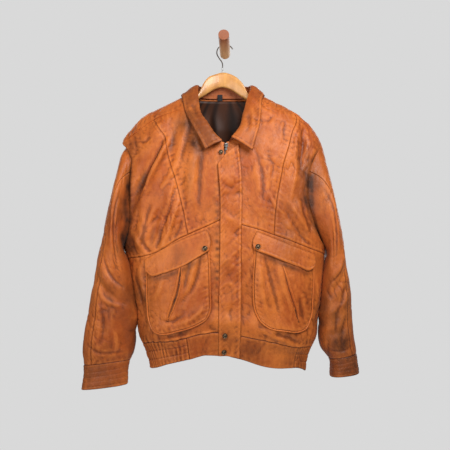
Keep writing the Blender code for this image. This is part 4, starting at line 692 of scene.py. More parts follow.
def flat_size(cloth):
    """The width, length and area to which a panel is cut before it is sewn."""
    points = cloth.points()
    if cloth.ring:
        points = np.concatenate([points, points[:, :1]], axis=1)
    across = np.linalg.norm(np.diff(points, axis=1), axis=-1)
    down = np.linalg.norm(np.diff(points, axis=0), axis=-1)
    width, length = float(across.sum(1).max()), float(down.sum(0).max())
    a, b = points[1:, :-1] - points[:-1, :-1], points[:-1, 1:] - points[:-1, :-1]
    c, d = points[1:, :-1] - points[1:, 1:], points[:-1, 1:] - points[1:, 1:]
    area = float(np.linalg.norm(np.cross(a, b), axis=-1).sum()
                 + np.linalg.norm(np.cross(c, d), axis=-1).sum()) / 2
    return width, length, area


def placed(name, mesh, material, node, body=None, smooth=True):
    """A finished piece: shaded, given its material, riding on its body, in place of its part of the
    model, which is hidden.
    """
    if smooth:
        mesh.shade_smooth()
    mesh.materials.clear()
    mesh.materials.append(material)
    piece = bpy.data.objects.new(name, mesh)
    bpy.context.scene.collection.objects.link(piece)
    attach(piece, body or BODY)
    if node:
        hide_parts(node)
    return piece


# Materials
class Nodes:
    """A material's node tree, built one node at a time."""

    def __init__(self, name):
        self.material = bpy.data.materials.new(name)
        self.material.use_nodes = True
        self.tree = self.material.node_tree
        self.shader = self.tree.nodes["Principled BSDF"]

    def add(self, kind, **settings):
        node = self.tree.nodes.new(kind)
        for key, value in settings.items():
            setattr(node, key, value)
        return node

    def link(self, source, target):
        self.tree.links.new(source, target)

    def place(self, stretch=(1, 1, 1)):
        coordinates = self.add("ShaderNodeTexCoord")
        mapping = self.add("ShaderNodeMapping")
        mapping.inputs["Scale"].default_value = stretch
        self.link(coordinates.outputs["Object"], mapping.inputs["Vector"])
        return mapping.outputs["Vector"]

    def noise(self, scale, detail=3.0, rough=0.55, stretch=(1, 1, 1)):
        made = self.add("ShaderNodeTexNoise")
        made.inputs["Scale"].default_value = scale
        made.inputs["Detail"].default_value = detail
        made.inputs["Roughness"].default_value = rough
        self.link(self.place(stretch), made.inputs["Vector"])
        return made.outputs["Fac"]

    def attribute(self, name):
        return self.add("ShaderNodeAttribute", attribute_name=name).outputs["Fac"]

    def ranged(self, value, low, high, to_low=0.0, to_high=1.0):
        made = self.add("ShaderNodeMapRange")
        for key, number in zip(("From Min", "From Max", "To Min", "To Max"),
                               (low, high, to_low, to_high)):
            made.inputs[key].default_value = number
        self.link(value, made.inputs["Value"])
        return made.outputs["Result"]

    def mixed(self, share, first, second):
        made = self.add("ShaderNodeMix", data_type="RGBA")
        self.link(share, made.inputs["Factor"])
        for socket, value in ((made.inputs[6], first), (made.inputs[7], second)):
            if isinstance(value, bpy.types.NodeSocket):
                self.link(value, socket)
            else:
                socket.default_value = (*value, 1)
        return made.outputs[2]

    def product(self, first, second, operation="MULTIPLY"):
        made = self.add("ShaderNodeMath", operation=operation)
        for socket, value in zip(made.inputs, (first, second)):
            if isinstance(value, (int, float)):
                socket.default_value = value
            else:
                self.link(value, socket)
        return made.outputs[0]

    def bump(self, height, distance, strength=1.0, normal=None):
        made = self.add("ShaderNodeBump")
        made.inputs["Distance"].default_value = distance
        made.inputs["Strength"].default_value = strength
        self.link(height, made.inputs["Height"])
        if normal is not None:
            self.link(normal, made.inputs["Normal"])
        return made.outputs["Normal"]

    def ridges(self, scale, detail, rough, stretch):
        """Noise folded at its middle, so it falls to 0 along thin winding lines."""
        level = self.product(self.noise(scale, detail, rough, stretch), 0.5, "SUBTRACT")
        return self.product(level, 0.0, "ABSOLUTE")

    def cells(self, scale):
        made = self.add("ShaderNodeTexVoronoi", feature="F1")
        made.inputs["Scale"].default_value = scale
        self.link(self.place(), made.inputs["Vector"])
        return made.outputs["Distance"]


def colours():
    return bpy.context.scene.jacket_colours


def sizes():
    return bpy.context.scene.jacket_sizes


def leather_material(name="worn tan leather", facing=False):
    """Tan leather: mottled dye, dark creases, painted shade in the hollows of folds, rubbed ridges,
    old stains, painted shade under and between parts, and a fine grain.
    """
    if name in bpy.data.materials:
        return bpy.data.materials[name]
    n, c = Nodes(name), colours()
    main = tuple(c.facing) if facing else tuple(c.leather)
    light = tuple(0.6 * a + 0.4 * b for a, b in zip(main, c.rubbed)) if facing else tuple(c.rubbed)
    cloud = n.ranged(n.noise(8.0, 4.0, 0.65, (1.2, 1.0, 0.8)), 0.38, 0.64)
    base = n.mixed(n.product(cloud, 0.72), main, light)
    lines = n.ridges(30.0, 4.0, 0.62, (1.5, 1.3, 0.8))
    base = n.mixed(n.ranged(lines, 0.0, 0.018, 0.16, 0.0), base, tuple(c.creased))
    patch = n.ranged(n.noise(19.0, 5.0, 0.65, (1.2, 1.0, 0.7)), 0.50, 0.72)
    base = n.mixed(n.product(patch, 0.34), base, tuple(c.creased))
    speck = n.ranged(n.noise(160.0, 3.0, 0.7), 0.52, 0.74)
    base = n.mixed(n.product(speck, 0.16), base, tuple(c.creased))
    hollow = n.attribute("hollow")
    # Painted shade in the hollows of the folds, with some patina.
    base = n.mixed(n.ranged(hollow, 0.22, 1.0, 0.0, 0.58), base, tuple(c.creased))
    rub = n.product(n.ranged(hollow, -0.75, -0.08, 1.0, 0.0),
                    n.ranged(n.noise(60.0), 0.3, 0.7, 0.4, 1.0))
    base = n.mixed(n.product(rub, 0.62), base, light)
    beside = n.product(n.ranged(n.attribute("edge"), 0.0010, 0.0030),
                       n.ranged(n.attribute("edge"), 0.0045, 0.0075, 1.0, 0.0))
    base = n.mixed(n.product(beside, 0.30), base, light)
    edge = n.ranged(n.attribute("edge"), 0.0, 0.0018, 0.60, 0.0)
    base = n.mixed(edge, base, tuple(c.creased))
    # Old stains and painted shade, in the stain colour.
    stain = n.product(n.attribute("stain"),
                      n.ranged(n.noise(34.0, 4.0, 0.6), 0.25, 0.65, 0.45, 1.0))
    base = n.mixed(stain, base, tuple(c.stain))
    n.link(base, n.shader.inputs["Base Color"])
    n.link(n.ranged(n.noise(45.0, 3.0), 0.3, 0.7, 0.36, 0.54), n.shader.inputs["Roughness"])
    n.shader.inputs["Specular IOR Level"].default_value = 0.32
    n.shader.inputs["Sheen Weight"].default_value = 0.04
    n.shader.inputs["Sheen Roughness"].default_value = 0.5
    pores = n.bump(n.cells(620.0), 0.00030, 0.55)
    grain = n.bump(n.noise(210.0, 5.0, 0.65), 0.0006, 0.45, pores)
    wrinkled = n.bump(n.ranged(lines, 0.0, 0.11), 0.0012, 0.30, grain)
    n.link(n.bump(n.noise(50.0, 3.0, 0.55, (1.4, 1.3, 0.7)), 0.0026, 0.42, wrinkled),
           n.shader.inputs["Normal"])
    return n.material


def thread_material():
    n, c = Nodes("waxed sewing thread"), colours()
    n.link(n.mixed(n.ranged(n.noise(22.0), 0.35, 0.65), tuple(c.thread), tuple(c.leather)),
           n.shader.inputs["Base Color"])
    n.shader.inputs["Roughness"].default_value = 0.62
    n.link(n.bump(n.noise(1500.0, 1.0, 0.5, (1, 1, 3)), 0.0002, 0.5), n.shader.inputs["Normal"])
    return n.material


def satin_material():
    n, c = Nodes("dark brown satin"), colours()
    tone = n.ranged(n.noise(30.0, 2.0, 0.5, (1, 1, 0.3)), 0.3, 0.7)
    base = n.mixed(tone, tuple(c.satin), tuple(0.6 * v for v in c.satin))
    # Painted shade in the folds of the lining
    base = n.mixed(n.ranged(n.attribute("stain"), 0.3, 1.0), base, tuple(0.22 * v for v in c.satin))
    n.link(base, n.shader.inputs["Base Color"])
    n.shader.inputs["Roughness"].default_value = 0.42
    n.shader.inputs["Specular IOR Level"].default_value = 0.22
    n.link(n.bump(n.noise(1800.0, 1.0, 0.4, (1, 1, 0.25)), 0.0002, 0.35), n.shader.inputs["Normal"])
    return n.material


def tape_material():
    if "black woven tape" in bpy.data.materials:
        return bpy.data.materials["black woven tape"]
    n, c = Nodes("black woven tape"), colours()
    weave = n.add("ShaderNodeTexWave", wave_type="BANDS", bands_direction="DIAGONAL")
    weave.inputs["Scale"].default_value = 420.0
    n.link(n.place(), weave.inputs["Vector"])
    n.link(n.mixed(weave.outputs["Fac"], tuple(c.tape), tuple(2.6 * v for v in c.tape)),
           n.shader.inputs["Base Color"])
    n.shader.inputs["Roughness"].default_value = 0.8
    n.link(n.bump(weave.outputs["Fac"], 0.0003, 0.6), n.shader.inputs["Normal"])
    return n.material


def wood_material(name, light, dark, stretch, rough, end=None):
    """Wood with long grain lines; end gives the colour of the end grain that faces out."""
    n = Nodes(name)
    lines = n.noise(90.0, 5.0, 0.62, stretch)
    broad = n.noise(14.0, 3.0, 0.5, stretch)
    base = n.mixed(n.ranged(lines, 0.42, 0.66), light, dark)
    base = n.mixed(n.product(n.ranged(broad, 0.4, 0.7), 0.35), base, dark)
    if end is not None:
        base = n.mixed(n.attribute("end_grain"), base, end)
    n.link(base, n.shader.inputs["Base Color"])
    n.link(n.ranged(lines, 0.3, 0.7, rough, rough + 0.14), n.shader.inputs["Roughness"])
    n.link(n.bump(lines, 0.0003, 0.35), n.shader.inputs["Normal"])
    return n.material


def metal_material(name, tint, rough, worn):
    if name in bpy.data.materials:
        return bpy.data.materials[name]
    n = Nodes(name)
    wear = n.ranged(n.noise(420.0, 4.0, 0.6), 0.40, 0.68)
    n.link(n.mixed(wear, tint, worn), n.shader.inputs["Base Color"])
    n.shader.inputs["Metallic"].default_value = 1.0
    n.link(n.ranged(n.noise(260.0, 3.0), 0.3, 0.7, rough, rough + 0.16),
           n.shader.inputs["Roughness"])
    n.link(n.bump(n.noise(900.0, 2.0), 0.0001, 0.3), n.shader.inputs["Normal"])
    return n.material


def steel():
    c = colours()
    return metal_material("bright steel", tuple(c.steel), 0.20, tuple(0.72 * v for v in c.steel))


def brass():
    c = colours()
    return metal_material("dark antique brass", tuple(c.brass), 0.30,
                          tuple(2.6 * v for v in c.brass))


# Stitches
STITCHES = []


def keep_stitches(cloth):
    STITCHES.extend(cloth.stitch_lines())


def even_points(points, ways, pitch):
    run = run_along(points, 0)
    count = int(run[-1] // pitch)
    if count < 2:
        return None
    at = (np.arange(count) + 0.5) * run[-1] / count
    place = np.stack([np.interp(at, run, points[:, k]) for k in range(3)], axis=1)
    ahead = np.stack([np.interp(at + pitch / 4, run, points[:, k]) for k in range(3)], axis=1)
    way = unit(np.stack([np.interp(at, run, ways[:, k]) for k in range(3)], axis=1))
    return place, unit(ahead - place + 1e-9), way


def stitch_mesh(lines, pitch, length, thickness):
    """Every stitch as a small spindle of thread that sinks in at both ends."""
    spindle = np.array([(-1, 0, -0.5), (-0.35, 1, 0), (-0.35, -1, 0), (-0.35, 0, 0.75),
                        (0.35, 1, 0), (0.35, -1, 0), (0.35, 0, 0.75), (1, 0, -0.5)])
    quads = np.array([(0, 1, 3, 3), (0, 3, 2, 2), (0, 2, 1, 1), (1, 4, 6, 3), (3, 6, 5, 2),
                      (2, 5, 4, 1), (7, 6, 4, 4), (7, 5, 6, 6), (7, 4, 5, 5)])
    points, faces, total = [], [], 0
    for line_points, ways in lines:
        even = even_points(line_points, ways, pitch)
        if even is None:
            continue
        place, along, way = even
        side = unit(np.cross(way, along))
        scaled = spindle * (length / 2, thickness / 2, thickness / 2)
        made = (place[:, None] + scaled[None, :, :1] * along[:, None]
                + scaled[None, :, 1:2] * side[:, None] + scaled[None, :, 2:] * way[:, None])
        points.append(made.reshape(-1, 3))
        starts = total + len(spindle) * np.arange(len(place))
        faces.append((quads[None] + starts[:, None, None]).reshape(-1, 4))
        total += len(spindle) * len(place)
    return np.concatenate(points), np.concatenate(faces)


def triangles_and_quads(name, points, quads):
    """A mesh from quads in which a doubled last corner stands for a triangle."""
    faces = [tuple(q[:3]) if q[2] == q[3] else tuple(q) for q in quads.tolist()]
    mesh = bpy.data.meshes.new(name)
    mesh.from_pydata(points.tolist(), [], faces)
    return mesh


# Pieces
BODY_GRAIN, SHADE_MOTTLE_SEED = 4, 21   # seeds that all panels share, so that their seams meet
HELD_FADE = 0.012                 # creases fade this near an edge that another panel meets
# The armhole drop sinks the leather; the second value is painted shade in the gap between sleeve
# and body.
ARMHOLE_DROP, ARMHOLE_SHADE = 0.0030, 0.85
OVERHANG_RISE = 0.0070
UNDER_COVER = 0.0012
OVERHANG = np.array((-0.2380, -0.083, -0.236))   # where the left shoulder overhangs its sleeve
COVERS = [(-0.0150, 0.0360, -0.76, -0.262), (-0.1760, -0.0420, -0.684, -0.490),
          (0.0760, 0.2020, -0.678, -0.490)]


class PanelMaker:
    """Cuts panels from the skin and finishes them."""

    def __init__(self):
        self.sizes = sizes()
        self.leather = leather_material()

    def grid(self, top, bottom, left, right):
        """Base points and ways out of a patch of skin, with its angles and heights."""
        probe = np.linspace(0, 1, 25)
        lengths = []
        for line in (top, bottom, left, right):
            a, z = line(probe)[..., 0], line(probe)[..., 1]
            lengths.append(float(run_along(smooth_skin(a, z), 0)[-1]))
        u = spaced(max(lengths[:2]), self.sizes.grid)
        v = spaced(max(lengths[2:]), self.sizes.grid)
        a, z = coons(top, bottom, left, right, v, u)
        return folded_skin(a, z), outward(folded_skin, a, z), a, z

    def panel(self, name, lines, stitched, seed, crease=1.0, held=(), quiet=()):
        base, out, a, z = self.grid(*lines)
        cloth = Cloth(base, out, stitched, quiet=quiet)
        x = base[..., 0]
        on_front_side = np.clip(np.cos(a) * 4, 0, 1)
        bare = 1 - covered(x, z) * on_front_side
        cloth.lift += creased(base, self.sizes.crease * crease, BODY_GRAIN) * bare
        cloth.lift += 1.3 * fold_height(x, z, CREASE_TABLE) * on_front_side * bare
        for edge in held:
            cloth.lift *= np.clip(cloth.distance[edge] / HELD_FADE, 0, 1)
        if name.startswith("front_side"):
            armhole = cloth.distance["right"]
            low = np.clip((-0.245 - z) / 0.03, 0, 1)
            cloth.lift -= ARMHOLE_DROP * low * np.exp(-(armhole / 0.006) ** 2)
            # Painted shade in the gap between sleeve and body, below the armhole
            cloth.stain += ARMHOLE_SHADE * low * np.exp(-(armhole / 0.010) ** 2)
        tip = np.linalg.norm(base - OVERHANG, axis=-1)
        cloth.lift += OVERHANG_RISE * np.exp(-(tip / 0.020) ** 2)
        cloth.lift += band_gathers(a, z, base) * bare
        cloth.lift -= UNDER_COVER * (1 - bare)
        cloth.sew(self.sizes.pucker, seed)
        # Painted shade along the listed fold lines, mottled, over the stains and patches of painted
        # shade.
        mottle = np.clip(0.75 + 1.2 * noise_field(base, 0.025, (1, 1, 0.6), SHADE_MOTTLE_SEED),
                         0.2, 1.2)
        cloth.stain += stains_and_shade_at(base) + fold_height(x, z, PAINTED_SHADE_TABLE) * on_front_side * mottle
        shell(cloth, f"leather_{name}", self.sizes.leather, self.leather, name)
        keep_stitches(cloth)


def covered(x, z):
    """Where a front lies under the storm flap or a pocket, from 0 to 1."""
    total = np.zeros(np.shape(x))
    for low_x, high_x, low_z, high_z in COVERS:
        inside = np.minimum.reduce([x - low_x, high_x - x, z - low_z, high_z - z])
        total = np.maximum(total, np.clip(inside / 0.006 + 0.5, 0, 1))
    return total


def band_gathers(a, z, base):
    """Soft vertical puckers where the body is gathered into the waistband."""
    degrees = wrapped_degrees(a)
    above = z - BAND_TOP(degrees)
    wave = np.sin(degrees * 0.62 + 2.4 * noise_field(base, 0.05, (1, 1, 0.2), 3))
    here = np.clip(0.5 + 1.6 * noise_field(base, 0.045, (1, 1, 1), 8), 0.1, 1.2)
    return 0.0015 * wave * here * np.exp(-np.clip(above, 0, 1) / 0.030)


STAINS_AND_SHADE = [  # middle, radius and strength of each old stain and each patch of painted shade
    ((-0.075, -0.125, -0.215), 0.030, 0.75), ((-0.062, -0.140, -0.255), 0.022, 0.45),
    ((0.142, -0.150, -0.425), 0.045, 0.36), ((0.170, -0.140, -0.455), 0.035, 0.30),
    ((-0.103, -0.160, -0.505), 0.018, 0.40), ((0.276, -0.130, -0.715), 0.030, 0.85),
    ((0.262, -0.130, -0.655), 0.028, 0.40), ((0.300, -0.110, -0.775), 0.035, 0.45),
    ((-0.258, -0.100, -0.640), 0.040, 0.35), ((-0.300, -0.110, -0.800), 0.050, 0.40),
    ((-0.205, -0.110, -0.700), 0.040, 0.30), ((0.010, -0.160, -0.700), 0.030, 0.28),
    ((-0.215, -0.110, -0.240), 0.025, 0.30), ((0.230, -0.120, -0.520), 0.035, 0.35),
    ((0.205, -0.110, -0.330), 0.034, 0.75), ((0.190, -0.140, -0.380), 0.040, 0.45),
    ((0.150, -0.150, -0.465), 0.040, 0.40), ((0.330, -0.100, -0.780), 0.050, 0.55),
    ((0.300, -0.110, -0.640), 0.070, 0.32), ((-0.330, -0.100, -0.800), 0.060, 0.35),
    ((-0.240, -0.120, -0.400), 0.034, 0.70), ((-0.232, -0.120, -0.478), 0.030, 1.00),
    ((-0.215, -0.120, -0.600), 0.040, 0.55), ((0.225, -0.120, -0.640), 0.040, 0.45),
    ((0.060, -0.150, -0.745), 0.050, 0.30), ((0.180, -0.140, -0.765), 0.050, 0.35),
    ((-0.090, -0.140, -0.192), 0.024, 0.85), ((-0.074, -0.150, -0.236), 0.022, 0.85),
    ((0.000, -0.010, -0.180), 0.060, 0.22), ((0.100, 0.0, -0.400), 0.070, 0.22),
    ((-0.120, 0.0, -0.550), 0.080, 0.24), ((0.060, 0.0, -0.660), 0.070, 0.22),
]


def stains_and_shade_at(points):
    # Old stains and patches of painted shade, and everything darker towards the bottom
    total = np.zeros(points.shape[:-1])
    for middle, radius, strength in STAINS_AND_SHADE:
        apart = np.linalg.norm((points - np.array(middle)) * (1.15, 0.7, 0.8), axis=-1)
        total = np.maximum(total, strength * np.exp(-(apart / radius) ** 2))
    return total + 0.14 * np.clip((-0.42 - points[..., 2]) / 0.30, 0, 1)


class JACKET_OT_fronts(Operator):
    """Both fronts: the panel beside the opening, the one at the armhole and the lower one"""
    bl_idname = "jacket.fronts"
    bl_label = "Fronts"

    def execute(self, context):
        maker = PanelMaker()
        for number, side in enumerate(SIDES):
            shoulder, panel = shoulder_line(side), panel_line(side)
            yoke_in, yoke_out = yoke_line(side)
            middle = centre_line(side, V_BOTTOM, YOKE_CENTRE[side])
            opening = joined((6 / 14, neck_line(side)), (8 / 14, middle))
            maker.panel(f"front_centre_{side}",
                        (piece_of(shoulder, 0, CENTRE_SHARE), yoke_in, opening, panel),
                        {"bottom": "double"}, 10 + number, 0.9, quiet=("top",))
            under = degree_line(side, (90, UNDERARM), (90, YOKE_AT_SIDE[side]))
            armhole = joined((13 / 14, degree_line(side, *ARMHOLE_FRONT[side])), (1 / 14, under))
            maker.panel(f"front_side_{side}",
                        (piece_of(shoulder, CENTRE_SHARE, 1), yoke_out, panel, armhole),
                        {"bottom": "double", "left": "single"}, 20 + number, 1.0, ("right",),
                        ("top",))
            yoke = joined((CENTRE_SHARE, yoke_in), (1 - CENTRE_SHARE, yoke_out))
            floor = band_line(side, math.degrees(abs(middle(1.0)[0])), 90)
            side_seam = degree_line(side, (90, YOKE_AT_SIDE[side]), (90, float(floor(1.0)[1])))
            centre = centre_line(side, YOKE_CENTRE[side], float(floor(0.0)[1]))
            maker.panel(f"front_lower_{side}", (yoke, floor, centre, side_seam),
                        {"top": "plain"}, 30 + number, 1.1, ("right", "bottom"))
        return {"FINISHED"}


class JACKET_OT_back(Operator):
    """The back in one panel, from the neck and shoulders to the waistband"""
    bl_idname = "jacket.back"
    bl_label = "Back"

    def execute(self, context):
        maker = PanelMaker()
        shoulder = {side: shoulder_line(side) for side in SIDES}
        left_end = shoulder["left"](0.0) + np.array([2 * math.pi, 0])
        neck = seam(shoulder["right"](0.0), *[(math.radians(d), z) for d, z in BACK_NECK], left_end)
        flanks = {}
        for side in SIDES:
            under = degree_line(side, (90, UNDERARM), (90, float(BAND_TOP(SIDES[side] * 90))))
            flanks[side] = joined((16 / 34, shoulder[side]), (10 / 34, armhole_back(side)),
                                  (8 / 34, under))

        def floor(t):
            degrees = 90 + 180 * np.asarray(t, float)
            wrapped = np.where(degrees > 180, degrees - 360, degrees)
            return np.stack([np.radians(degrees), BAND_TOP(wrapped)], axis=-1)

        maker.panel("back", (neck, floor, flanks["right"],
                             lambda t: flanks["left"](t) + np.array([2 * math.pi, 0])),
                    {"top": "single"}, 40, 1.0, ("left", "right", "bottom"), ("left", "right"))
        return {"FINISHED"}


# Sleeves: stations of (share, outer x, outer z, inner x, inner z, half depth)
SLEEVE = {
    "left": Track((0.00, 0.2440, -0.238, 0.2465, -0.497, 0.062),
                  (0.08, 0.2560, -0.272, 0.2500, -0.503, 0.063),
                  (0.16, 0.2650, -0.312, 0.2500, -0.508, 0.063),
                  (0.26, 0.2770, -0.365, 0.2470, -0.518, 0.062),
                  (0.36, 0.2905, -0.425, 0.2410, -0.534, 0.059),
                  (0.46, 0.3030, -0.486, 0.2355, -0.561, 0.055),
                  (0.56, 0.3150, -0.549, 0.2290, -0.597, 0.051),
                  (0.66, 0.3255, -0.604, 0.2225, -0.637, 0.047),
                  (0.76, 0.3340, -0.655, 0.2185, -0.676, 0.043),
                  (0.86, 0.3430, -0.700, 0.2185, -0.715, 0.039),
                  (0.94, 0.3475, -0.742, 0.2240, -0.743, 0.033),
                  (1.00, 0.3450, -0.777, 0.2320, -0.762, 0.027),
                  (1.12, 0.3505, -0.837, 0.2385, -0.823, 0.025)),
    "right": Track((0.00, 0.2360, -0.240, 0.2435, -0.497, 0.062),
                   (0.08, 0.2445, -0.272, 0.2480, -0.503, 0.063),
                   (0.16, 0.2540, -0.312, 0.2490, -0.509, 0.063),
                   (0.26, 0.2665, -0.365, 0.2475, -0.518, 0.062),
                   (0.36, 0.2790, -0.425, 0.2455, -0.531, 0.060),
                   (0.46, 0.2890, -0.485, 0.2430, -0.552, 0.057),
                   (0.56, 0.2975, -0.545, 0.2405, -0.585, 0.054),
                   (0.66, 0.3045, -0.600, 0.2370, -0.625, 0.051),
                   (0.76, 0.3080, -0.650, 0.2320, -0.662, 0.049),
                   (0.86, 0.3130, -0.700, 0.2275, -0.700, 0.047),
                   (0.94, 0.3185, -0.732, 0.2340, -0.735, 0.043),
                   (1.00, 0.3205, -0.747, 0.2520, -0.760, 0.040),
                   (1.12, 0.3265, -0.795, 0.2560, -0.804, 0.038)),
}
SLEEVE_MIDDLE = Track((0.0, -0.083), (0.4, -0.085), (0.8, -0.084), (1.12, -0.082))
HANG_IN = 0.24                    # the share over which a sleeve leaves its armhole
CUFF_START, CUFF_END, CUFF_DEPTH = 1.0, 1.12, 0.060
SLEEVE_RADIUS = 0.055
HEAD_SINK = 0.0045                # how far the left sleeve's head sinks under the shoulder
PRESSED = {"left": (0.0120, 0.22), "right": (0.0080, 0.5)}   # reach to the body, full from share
TUCK, TUCK_DEPTH = 0.0055, 0.0032
# Painted shade laid over each whole sleeve, more on the right
SLEEVE_SHADE = {"left": 0.04, "right": 0.12}
FIRST_SEAM = 4 / 13 * math.pi
LAST_SEAM = math.pi + 0.7 * math.pi
SLEEVE_LENGTH, GIRTH_PER_DEGREE = 0.60, 0.0011
# Folds of the sleeves as lines of (share, degrees round) with a half width and a height
SLEEVE_FOLDS = {
    "left": [(0.020, 0.0050, [(0.10, 62), (0.26, 74), (0.44, 96)]),
             (0.018, -0.0050, [(0.14, 92), (0.30, 100), (0.42, 118)]),
             (0.016, 0.0045, [(0.50, 40), (0.56, 84), (0.58, 128)]),
             (0.014, -0.0045, [(0.56, 44), (0.62, 88), (0.64, 132)]),
             (0.016, 0.0040, [(0.66, 60), (0.76, 88), (0.92, 100)]),
             (0.014, -0.0035, [(0.74, 120), (0.84, 128), (0.94, 130)]),
             (0.018, 0.0045, [(0.48, 230), (0.55, 270), (0.58, 310)]),
             (0.018, -0.0040, [(0.30, 250), (0.42, 262), (0.50, 280)])],
    "right": [(0.018, 0.0045, [(0.12, 60), (0.26, 66), (0.44, 84)]),
              (0.016, -0.0045, [(0.20, 100), (0.34, 104), (0.46, 112)]),
              (0.016, 0.0045, [(0.46, 50), (0.52, 86), (0.52, 124)]),
              (0.015, -0.0045, [(0.52, 44), (0.58, 84), (0.60, 120)]),
              (0.014, 0.0040, [(0.66, 50), (0.70, 84), (0.74, 130)]),
              (0.014, -0.0040, [(0.78, 60), (0.84, 90), (0.86, 124)]),
              (0.018, 0.0045, [(0.46, 230), (0.53, 268), (0.56, 308)]),
              (0.018, -0.0040, [(0.30, 252), (0.42, 264), (0.50, 282)])],
}
SLEEVE_CREASES = {
    "left": [(0.0060, -0.0030, [(0.06, 70), (0.22, 84), (0.40, 104), (0.52, 118)]),
             (0.0070, 0.0030, [(0.10, 82), (0.24, 96), (0.38, 112)]),
             (0.0060, -0.0030, [(0.47, 60), (0.53, 96), (0.55, 130)]),
             (0.0060, 0.0025, [(0.60, 50), (0.66, 84), (0.66, 120)]),
             (0.0055, -0.0030, [(0.68, 70), (0.78, 80), (0.90, 76)]),
             (0.0060, 0.0025, [(0.80, 100), (0.90, 108), (0.97, 104)]),
             (0.0060, -0.0030, [(0.50, 240), (0.56, 276), (0.60, 312)]),
             (0.0060, -0.0025, [(0.90, 40), (0.94, 80), (0.93, 130)])],
    "right": [(0.0060, -0.0028, [(0.08, 66), (0.24, 76), (0.42, 92)]),
              (0.0060, 0.0028, [(0.16, 84), (0.30, 92), (0.44, 104)]),
              (0.0060, -0.0030, [(0.49, 50), (0.54, 90), (0.55, 128)]),
              (0.0060, -0.0030, [(0.62, 60), (0.72, 92), (0.84, 96)]),
              (0.0070, 0.0035, [(0.72, 70), (0.80, 84), (0.90, 86)]),
              (0.0055, -0.0040, [(0.80, 74), (0.88, 84), (0.97, 82)]),
              (0.0060, -0.0030, [(0.48, 238), (0.55, 274), (0.58, 310)]),
              (0.0060, -0.0025, [(0.92, 50), (0.95, 90), (0.94, 130)])],
}


def sleeve_fold_height(share, turn, folds):
    table = fold_table([(width, height, [(along * SLEEVE_LENGTH, degrees * GIRTH_PER_DEGREE)
                                         for along, degrees in line])
                        for width, height, line in folds])
    return fold_height(share * SLEEVE_LENGTH,
                       np.degrees(turn % (2 * math.pi)) * GIRTH_PER_DEGREE, table)


def sleeve_tube(side, share, turn):
    """A point of a sleeve: share from armhole to cuff, turn from the outer edge forward."""
    share, turn = np.broadcast_arrays(np.asarray(share, float), np.asarray(turn, float))
    s = SLEEVE[side](share)
    middle, half = (s[..., 0:2] + s[..., 2:4]) / 2, (s[..., 0:2] - s[..., 2:4]) / 2
    place = middle + half * power(np.cos(turn), 2 / SLEEVE_POWER)[..., None]
    y = SLEEVE_MIDDLE(share) - s[..., 4] * power(np.sin(turn), 2 / SLEEVE_POWER)
    return np.stack([SIDES[side] * place[..., 0], y, place[..., 1]], axis=-1)


def tube_normals(side, points, ring):
    if ring:
        around = np.roll(points, -1, axis=1) - np.roll(points, 1, axis=1)
    else:
        around = np.gradient(points, axis=1)
    return unit(np.cross(around, np.gradient(points, axis=0))) * SIDES[side]


def sleeve_surface(side, shares, turns, ring=False):
    """Points and ways out of a stretch of sleeve, its top row on the armhole."""
    share, turn = np.meshgrid(shares, turns, indexing="ij")
    wrapped = turns % (2 * math.pi)
    front = degree_line(side, *ARMHOLE_FRONT[side])(wrapped / math.pi)
    back = armhole_back(side)(2 - wrapped / math.pi)
    loop = np.where((wrapped <= math.pi)[:, None], front, back)
    edge = folded_skin(loop[:, 0], loop[:, 1])
    points = sleeve_tube(side, share, turn)
    pull = np.clip(1 - share / HANG_IN, 0, 1) ** 2
    points = points + (edge - sleeve_tube(side, 0.0, turns))[None] * pull[..., None]
    settled = np.clip(share / HANG_IN, 0, 1)
    height = sleeve_fold_height(share, turn, SLEEVE_FOLDS[side]) * settled
    points = points + tube_normals(side, points, ring) * height[..., None]
    out = tube_normals(side, points, ring)
    if shares[0] == 0:
        inward = unit(points[1] - points[0]) * TUCK
        tucked = points[0] - inward - outward(folded_skin, loop[:, 0], loop[:, 1]) * TUCK_DEPTH
        points, out = np.concatenate([tucked[None], points]), np.concatenate([out[:1], out])
        share, turn = np.concatenate([share[:1], share]), np.concatenate([turn[:1], turn])
    return points, out, share, turn


